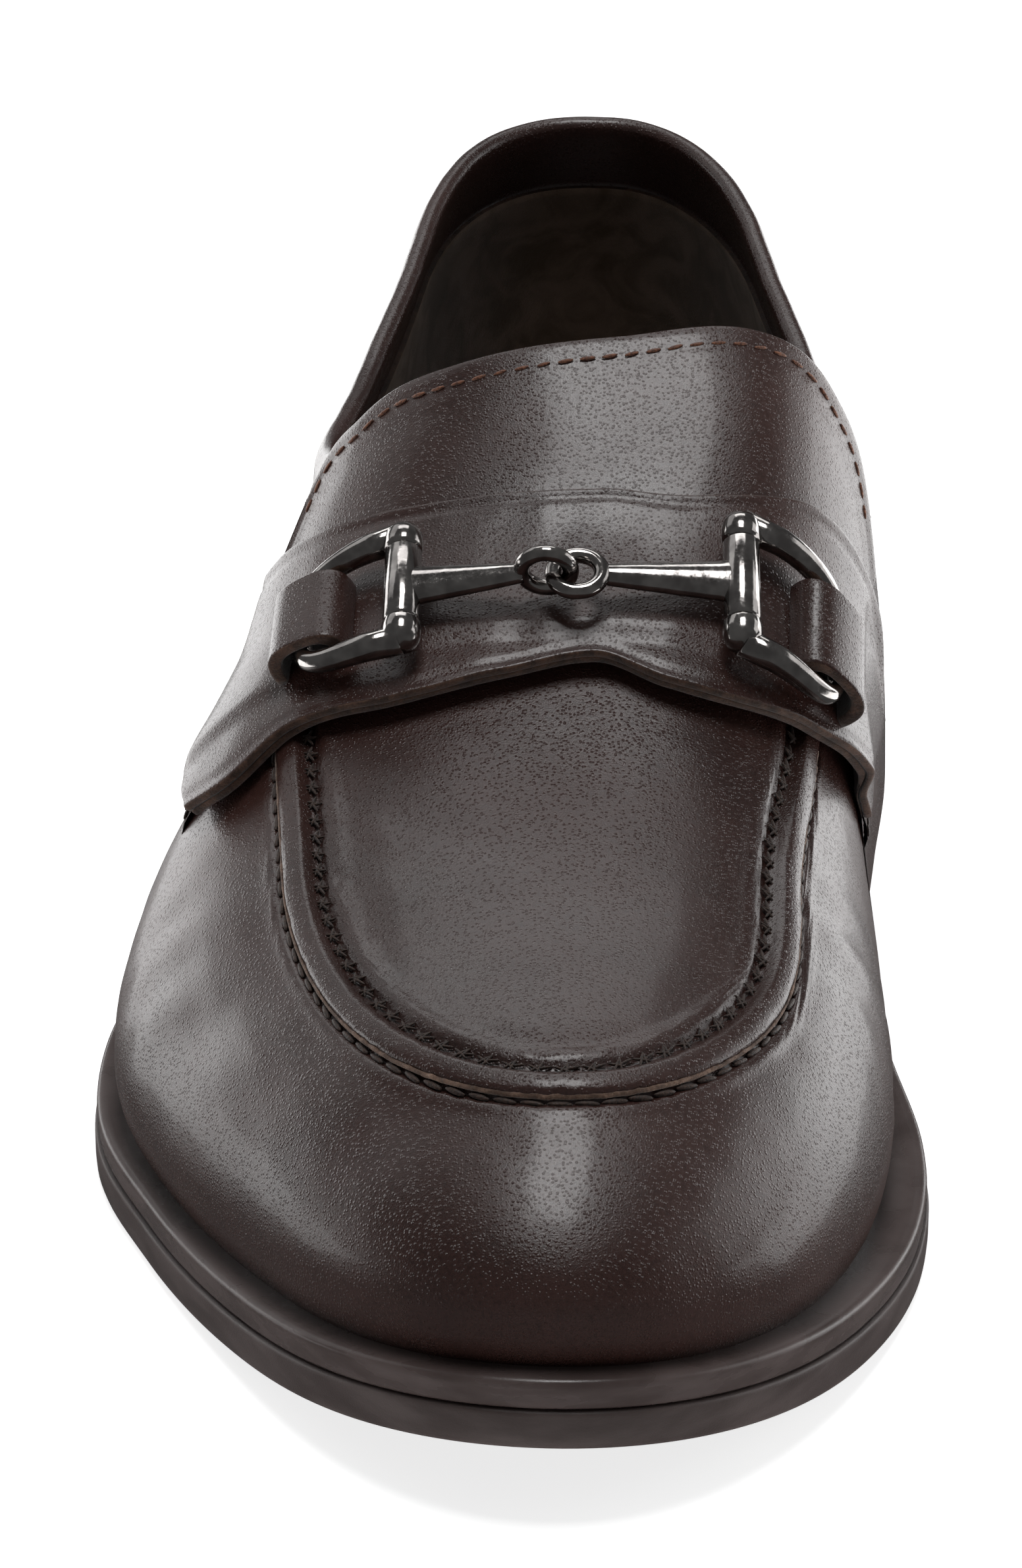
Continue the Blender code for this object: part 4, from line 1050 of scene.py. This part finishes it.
def lathe(body, start, end, profile):
    """A round shape between two points: (share along, radius) pairs, spun round the line."""
    along = Vector(end - start)
    turn = along.to_track_quat("Z", "Y").to_matrix().to_4x4()
    turn.translation = Vector(start)
    there = set(body.verts)
    verts = [body.verts.new((radius, 0, share * along.length)) for share, radius in profile]
    edges = [body.edges.new(pair) for pair in zip(verts, verts[1:])]
    bmesh.ops.spin(body, geom=verts + edges, cent=(0, 0, 0), axis=(0, 0, 1), dvec=(0, 0, 0), angle=2 * math.pi,
                   steps=32, use_merge=True, use_duplicate=False)
    made = [vert for vert in body.verts if vert not in there]
    bmesh.ops.transform(body, matrix=turn, verts=made)
    bmesh.ops.remove_doubles(body, verts=made, dist=1e-6)


def stage_camera():
    """Camera at the photograph's angle, its long side upright."""
    data = bpy.data.cameras.new("photo_camera")
    data.sensor_fit = "VERTICAL"
    data.sensor_height = SENSOR_HEIGHT
    data.lens = CAMERA_LENS
    data.clip_start = 0.01
    data.clip_end = 20
    camera = bpy.data.objects.new("photo_camera", data)
    bpy.context.scene.collection.objects.link(camera)
    azimuth, rise = (math.radians(angle) for angle in CAMERA_ANGLES)
    back = Vector((math.sin(azimuth) * math.cos(rise), -math.cos(azimuth) * math.cos(rise), math.sin(rise)))
    camera.location = Vector(CAMERA_TARGET) + back * CAMERA_DISTANCE
    camera.rotation_euler = back.to_track_quat("Z", "Y").to_euler()
    bpy.context.scene.camera = camera


def soft_light(name, place, target, size, power):
    """A rectangular area light turned to a target."""
    data = bpy.data.lights.new(name, "AREA")
    data.shape = "RECTANGLE"
    data.size, data.size_y = size
    data.energy = power
    light = bpy.data.objects.new(name, data)
    light.location = place
    light.rotation_euler = (Vector(place) - Vector(target)).to_track_quat("Z", "Y").to_euler()
    bpy.context.scene.collection.objects.link(light)
    return light


def colour_setting(name, description, code):
    """A colour for the panel."""
    return FloatVectorProperty(name=name, description=description, subtype="COLOR", default=linear(code), min=0, max=1)


class LoaferSettings(bpy.types.PropertyGroup):
    """Sizes and colours of the loafer's looks."""

    leather_colour: colour_setting("Leather", "Colour of the leather's face", "#3f2823")
    leather_shade: colour_setting("Leather shade", "Darker clouds in the leather's dye", "#2b1b18")
    sole_colour: colour_setting("Sole", "Colour of the sole's rubber", "#584d4b")
    thread_colour: colour_setting("Thread colour", "Colour of the apron seam's thread", "#3d2a20")
    metal_colour: colour_setting("Bit", "Colour of the bit's plating", "#b3afac")
    grain: FloatProperty(name="Grain in mm", description="Width of the leather's grain cells, in millimetres",
                         default=0.5, min=0.2, max=2.0)
    gloss: FloatProperty(name="Leather roughness", description="Roughness of the leather's finish", default=0.23,
                         min=0.05, max=1.0, subtype="FACTOR")
    thread_width: FloatProperty(name="Thread", description="Width of the apron seam's thread", default=0.0008,
                                min=0.0003, max=0.002, unit="LENGTH")
    stitch_pitch: FloatProperty(name="Stitch pitch", description="Distance between the fine stitches", default=0.0030,
                                min=0.001, max=0.006, unit="LENGTH")


class LOAFER_OT_sole(bpy.types.Operator):
    """Outsole, welt layer and heel in moulded rubber"""

    bl_idname = "loafer.sole"
    bl_label = "Sole"

    def execute(self, context):
        colour = context.scene.loafer.sole_colour
        rubber = moulded_rubber("outsole_rubber_matt", "#463c3a", colour, 0.40, 0.5)
        band = moulded_rubber("welt_rubber_smooth", "#453b39", colour, 0.26, 0.2)
        tread = moulded_rubber("tread_rubber", "#262122", "#302b2c", 0.66, 0.8)
        none = (0.0, 0.0)
        outsole = sole_plate("outsole_skin", "sole", none, OUTSOLE_EDGE, [rubber, tread])
        welt = sole_plate("welt_skin", "sole", none, WELT_EDGE, [band], lift=OUTSOLE_TOP)
        heel = sole_plate("heel_skin", "sole", none, HEEL_EDGE, [rubber, tread], foot=np.zeros_like,
                          front=HEEL_LENGTH / LENGTH)
        for piece, node in ((outsole, "outsole"), (welt, "midsole"), (heel, "heel")):
            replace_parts(piece, node)
        return {"FINISHED"}


class LOAFER_OT_upper(bpy.types.Operator):
    """Upper with its apron seam, rolled collar, facing and lining"""

    bl_idname = "loafer.upper"
    bl_label = "Upper"

    def execute(self, context):
        rows, edge = upper_grid()
        body = bmesh.new()
        for low, high, slot in ((0, edge + 1, 0), (edge, edge + 2, 1), (edge + 1, len(rows), 2)):
            add_grid(body, rows[low:high], wrap=True, slot=slot)
        bmesh.ops.remove_doubles(body, verts=[vert for vert in body.verts if vert.is_boundary], dist=MERGE)
        piece = finish_piece("upper_leather", body, [
            face_leather(context, "calf_upper"), cut_edge(), suede("lining_suede", "#62503f", "#857061")])
        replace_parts(piece, "upper")
        return {"FINISHED"}


class LOAFER_OT_insole(bpy.types.Operator):
    """Insole covered in dark sock leather"""

    bl_idname = "loafer.insole"
    bl_label = "Insole"

    def execute(self, context):
        piece = sole_plate("insole_sock", "upper", (TOE_MARGIN, HEEL_MARGIN), SOCK_EDGE,
                           [calf_leather("sock_leather", "#1d1412", "#2a1e1a", 0.6, 0.5)],
                           lift=(OUTSOLE_THICK + WELT_THICK + GAP) * METRE)
        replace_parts(piece, "insole")
        return {"FINISHED"}


class LOAFER_OT_tongue(bpy.types.Operator):
    """Tongue with its cut edge and edge stitching"""

    bl_idname = "loafer.tongue"
    bl_label = "Tongue"

    def execute(self, context):
        plan, *_, share = patch_grid(TONGUE, tongue_end, 40, 150)
        curl = 0.0007 * smooth((share - 0.8) / 0.2) + 0.00012 * plan_wobble(plan, 0.03, 21)
        curl -= 0.00025 * hump(share, 0.915, 0.02)
        top = on_plan(plan, GAP + TONGUE_THICK + curl)
        piece = slab("tongue_leather", top, on_plan(plan, GAP + 0.8 * curl), leather_looks(context), 0.00045)
        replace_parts(piece, "tongue")
        reach = np.linspace(-0.955, 0.955, 300)
        at = column(TONGUE, EDGE_COLUMNS, "rear", reach) + 0.0100
        low = np.abs(reach) * tongue_end(reach, at)
        line = np.where((reach < 0)[:, None], side_point(-1, at, low), side_point(1, at, low))
        body = bmesh.new()
        pitch = context.scene.loafer.stitch_pitch
        stitch_line(body, line, GAP + TONGUE_THICK + 0.00035, pitch, pitch * 0.74, 0.0006, FINE_THICK, 0.10, seed=4)
        finish_piece("tongue_stitches", body, [waxed_thread("thread_rust", "#4a2a1d", "#7d5038")])
        return {"FINISHED"}


class LOAFER_OT_strap(bpy.types.Operator):
    """Saddle strap of two leathers, its raw end strips and their stitches"""

    bl_idname = "loafer.strap"
    bl_label = "Saddle strap"

    def execute(self, context):
        looks = leather_looks(context)
        plan, side, station, level, share = patch_grid(STRAP, strap_end, 56, 190)
        under, over = strap_levels(side, station, level, share)
        over = over + 0.00014 * plan_wobble(plan, 0.022, 31)
        over = over - 0.0002 * hump(share, 0.045, 0.02) - 0.00025 * hump(share, 0.95, 0.015)
        top, back = on_plan(plan, over), on_plan(plan, over - STRAP_LAYER)
        piece = slab("strap_face", top, back, looks, 0.00042)
        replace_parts(piece, "saddle_strap")
        # The lower leather shows along the front edge alone
        front = slice(0, 24)
        low_plan = plan[front] + np.array([0, LAYER_PLAY])
        low_top = on_plan(low_plan, over[front] - STRAP_LAYER - 0.00008)
        low_back = on_plan(low_plan, np.minimum(under[front], over[front] - STRAP_LAYER - 0.0003))
        slab("strap_lining", low_top, low_back, [looks[2], looks[1], looks[2]], 0.00025, 2)
        body, strips = bmesh.new(), bmesh.new()
        for side, ends in ((-1, (0.652, 0.548)), (1, (0.610, 0.515))):
            at = np.linspace(*ends, 60)
            edge = on_plan(side_point(side, at, strap_end(side, at)), 0 * at)[:, 2]
            line = side_point(side, at, gauge_of_height(side, at, edge - 0.0022))
            stitch_line(body, line, 0.0010, 0.0027, 0.0021, 0.0006, 0.0005, 0.5 * side, seed=7)
            strip = np.stack([side_point(side, at, gauge_of_height(side, at, edge - drop))
                              for drop in (-0.0008, 0.0010, 0.0028, 0.0042)])
            lift = np.array([0.0010, 0.0010, 0.0008, 0.0001])[:, None]
            add_grid(strips, on_plan(strip, lift + 0.00012 * plan_wobble(strip, 0.003, 9)))
        finish_piece("strap_end_strips", strips, [cut_edge("raw_strip", "#1d130f", "#4a362b")])
        finish_piece("strap_end_stitches", body, [waxed_thread("thread_dark", "#20140f", "#3c291f")])
        return {"FINISHED"}


class LOAFER_OT_stitching(bpy.types.Operator):
    """Hand sewn apron seam and the collar's fine stitching"""

    bl_idname = "loafer.stitching"
    bl_label = "Stitching"

    def execute(self, context):
        look = context.scene.loafer
        thick, pitch = look.thread_width, look.stitch_pitch
        body = bmesh.new()
        outer = seam_line(-0.0006)
        stitch_line(body, outer, -0.0001, APRON_PITCH / METRE, 0.0031, thick, thick * 0.9, -0.10, seed=11)
        for lean, shift, seed in ((0.95, 0.0, 12), (-0.45, 0.0, 12), (1.35, 0.3, 15), (0.35, 0.6, 18)):
            row = seam_line(0.0051 + 0.0003 * shift)
            stitch_line(body, row, 0.00005, APRON_PITCH / METRE, 0.0024, thick * 0.5, thick * 0.6, lean, seed, shift)
        finish_piece("apron_stitches", body, [waxed_thread("thread_brown", "#1f140f", look.thread_colour)])
        body = bmesh.new()
        plan = seam_line(0.00015, 900)
        rng = np.random.default_rng(41)
        ragged = 0.00012 * np.convolve(rng.normal(0, 1, len(plan)), np.ones(5) / 5, "same")
        wide = 0.00030 + 0.4 * np.abs(ragged)
        shown = slice(25, -25)
        add_tube(body, on_plan(plan, 0.00035 + ragged)[shown], np.stack([wide, wide * 1.3], 1)[shown], 6,
                 normal(*plan[shown].T))
        finish_piece("apron_raw_edge", body, [cut_edge("raw_edge_pale", "#4a372c", "#8a6f5e")])
        body = bmesh.new()
        for side in (-1, 1):
            at = np.linspace(0.02, 0.44, 300)
            at = at[end_share(at, TOE_MARGIN, HEEL_MARGIN) < topline_gauge(side, at) - 0.01]
            line = side_point(side, at, gauge_of_height(side, at, section("topline", at) - COLLAR_STITCH * 0.93))
            stitch_line(body, line, 0.00005, pitch, pitch * 0.73, FINE_WIDE, FINE_THICK, 0.08, seed=15)
        finish_piece("collar_stitches", body, [waxed_thread("thread_dark", "#20140f", "#3c291f")])
        return {"FINISHED"}


class LOAFER_OT_keepers(bpy.types.Operator):
    """Leather loops that hold the bit to the strap"""

    bl_idname = "loafer.keepers"
    bl_label = "Keepers"

    def execute(self, context):
        looks = leather_looks(context)
        top = BOW_RADIUS * 2 + 3 * GAP + KEEPER_THICK
        seat = strap_top() - 0.0004
        centre = BOW_REACH - KEEPER_INSET
        for name, side, origin in BIT_SIDES:
            grids = []
            for grow in (0.0, KEEPER_THICK):
                rows = []
                for ahead in np.linspace(-0.5, 0.5, 13) * KEEPER_WIDTH:
                    row = []
                    for angle in np.linspace(0, math.pi, 41):
                        bend = math.copysign(abs(math.cos(angle)) ** KEEPER_POWER, math.cos(angle))
                        lift = seat + (top - grow) * abs(math.sin(angle)) ** KEEPER_POWER
                        row.append(bit_point(origin, side, centre - (KEEPER_SPAN / 2 - grow) * bend, ahead, lift))
                    rows.append(row)
                grids.append(np.array(rows))
            piece = slab(f"keeper_{name}_loop", *grids, looks, 0.0004)
            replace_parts(piece, "keeper_" + name)
        return {"FINISHED"}


class LOAFER_OT_bit(bpy.types.Operator):
    """Polished bit: two bows with capped barrels and two linked shanks"""

    bl_idname = "loafer.bit"
    bl_label = "Bit"

    def execute(self, context):
        metal = black_nickel(context.scene.loafer.metal_colour)
        for name, side, origin in BIT_SIDES:
            body = bmesh.new()
            add_bow(body, side, origin)
            middle, along = barrel(side, origin)
            half = SLEEVE_LENGTH / 2 + GAP
            for sign in (-1, 1):
                start, stop = (middle + along * sign * at for at in (half - 0.0004, half + CAP_LENGTH))
                lathe(body, start, stop, CAP_SHAPE)
            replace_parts(finish_piece("bit_bow_" + name, body, [metal]), "bit_ring_" + name)
        for (name, side, origin), eye in zip(BIT_SIDES, linked_eyes()):
            body = bmesh.new()
            add_shank(body, side, origin, *eye)
            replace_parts(finish_piece("bit_shank_" + name, body, [metal]), "bit_bar_" + name)
        return {"FINISHED"}


def add_bow(body, side, origin):
    """The bow of one end, a flattened half round from cap to cap."""
    path, radii = [], []
    low = strap_top() + 2 * GAP + BOW_RADIUS
    for angle in np.linspace(0, math.pi, 49):
        reach = abs(math.sin(angle)) ** (2 / BOW_POWER)
        ahead = -BOW_HALF * math.copysign(abs(math.cos(angle)) ** (2 / BOW_POWER), math.cos(angle))
        level = bit_lift() + (low - bit_lift()) * smooth(reach)
        path.append(bit_point(origin, side, BOW_REACH * reach, ahead, level))
        radii.append([BOW_RADIUS + (BOW_ROOT - BOW_RADIUS) * (1 - smooth(reach))] * 2)
    path = np.array(path)
    add_tube(body, path, radii, 20, normal(path[:, 0], path[:, 1]))


def add_shank(body, side, origin, centre, axis):
    """Half of the bar: its sleeve on the pin, the tapered shank and the eye at its end."""
    middle, along = barrel(side, origin)
    half = SLEEVE_LENGTH / 2
    lathe(body, middle - along * half, middle + along * half, SLEEVE_SHAPE)
    reach = np.linalg.norm(centre - middle)
    to_eye = (centre - middle) / reach
    steps = np.linspace(0, 1, 25)
    start = middle + to_eye * SLEEVE_RADIUS * 0.4
    stop = middle + to_eye * (reach - EYE_RADIUS + 0.0002)
    wide = np.interp(steps, [0, 0.12, SHANK_BEND, 1],
                     [SHANK_ROOT_WIDE, SHANK_ROOT_WIDE * 0.86, SHANK_TIP_WIDE, SHANK_TIP * 1.25])
    tall = np.interp(steps, [0, SHANK_BEND, 1], [SHANK_ROOT, SHANK_TIP * 1.15, SHANK_TIP])
    add_tube(body, start + (stop - start) * steps[:, None], np.stack([wide, tall], 1), 20, normal(*middle[:2]))
    turn = np.linspace(0, 2 * math.pi, 48, endpoint=False)[:, None]
    axis = unit(axis)
    first = unit(np.cross(axis, [0.3, 0.2, 0.9]))
    ring = centre + EYE_RADIUS * (np.cos(turn) * first + np.sin(turn) * np.cross(axis, first))
    add_tube(body, ring, [EYE_WIRE * 1.12] * 2, 16, np.broadcast_to(axis, ring.shape), closed=True)


def linked_eyes():
    """Centres and axes of the two eyes, each through the other."""
    lift = strap_top() + 2 * GAP + EYE_RADIUS + EYE_WIRE
    apart = 2 * (EYE_RADIUS - EYE_WIRE) - 1.5 * GAP
    middle = bit_point(BIT_CENTRE, 1, 0, 0, lift)
    ends = [bit_point(BIT_CENTRE, 1, sign * 0.01, 0, lift) for sign in (-1, 1)]
    line = unit(ends[1] - ends[0])
    up = normal(middle[0], middle[1])
    flat = np.cross(line, up)
    return (middle - line * apart / 2, flat), (middle + line * apart / 2 - up * (EYE_WIRE * 0.6), up)


class LOAFER_OT_stage(bpy.types.Operator):
    """Pale floor, soft studio light and the camera"""

    bl_idname = "loafer.stage"
    bl_label = "Stage"

    def execute(self, context):
        scene = context.scene
        body = bmesh.new()
        bmesh.ops.create_grid(body, x_segments=1, y_segments=1, size=4.0)
        mesh = bpy.data.meshes.new("studio_floor")
        body.to_mesh(mesh)
        body.free()
        floor = bpy.data.objects.new("studio_floor", mesh)
        scene.collection.objects.link(floor)
        # Backlit acrylic sheet under seamless paper: an even white with a faint shadow
        material, shader = new_material("matt_white_paper")
        mesh.materials.append(dress(material, shader, (0.85, 0.85, 0.85, 1), 1.0, Emission_Color=(1, 1, 1, 1),
                                    Emission_Strength=0.78, Specular_IOR_Level=0.0))
        floor.visible_glossy = False
        scene.world = bpy.data.worlds.new("soft_studio")
        scene.world.use_nodes = True
        background = scene.world.node_tree.nodes["Background"]
        background.inputs["Color"].default_value = (1, 1, 1, 1)
        background.inputs["Strength"].default_value = 0.10
        for light in LIGHTS:
            soft_light(*light)
        for light in TABLE_LIGHTS:
            soft_light(*light).visible_camera = False
        stage_camera()
        scene.view_settings.view_transform = "Standard"
        return {"FINISHED"}


class LOAFER_PT_panel(bpy.types.Panel):
    """Loafer pieces"""

    bl_label = "Loafer"
    bl_idname = "LOAFER_PT_panel"
    bl_space_type = "VIEW_3D"
    bl_region_type = "UI"
    bl_category = "Loafer"

    def draw(self, context):
        column_ui = self.layout.column()
        for name in LoaferSettings.__annotations__:
            column_ui.prop(context.scene.loafer, name)
        for operator in OPERATORS:
            column_ui.operator(operator.bl_idname)


OPERATORS = (
    LOAFER_OT_sole, LOAFER_OT_upper, LOAFER_OT_insole, LOAFER_OT_tongue, LOAFER_OT_strap, LOAFER_OT_stitching,
    LOAFER_OT_keepers, LOAFER_OT_bit, LOAFER_OT_stage,
)
CLASSES = (LoaferSettings, *OPERATORS, LOAFER_PT_panel)


def register():
    for item in CLASSES:
        bpy.utils.register_class(item)
    bpy.types.Scene.loafer = PointerProperty(type=LoaferSettings)


def unregister():
    del bpy.types.Scene.loafer
    for item in reversed(CLASSES):
        bpy.utils.unregister_class(item)


def main():
    register()
    bpy.ops.loafer.sole()
    bpy.ops.loafer.upper()
    bpy.ops.loafer.insole()
    bpy.ops.loafer.tongue()
    bpy.ops.loafer.strap()
    bpy.ops.loafer.stitching()
    bpy.ops.loafer.keepers()
    bpy.ops.loafer.bit()
    bpy.ops.loafer.stage()


if __name__ == "__main__":
    main()
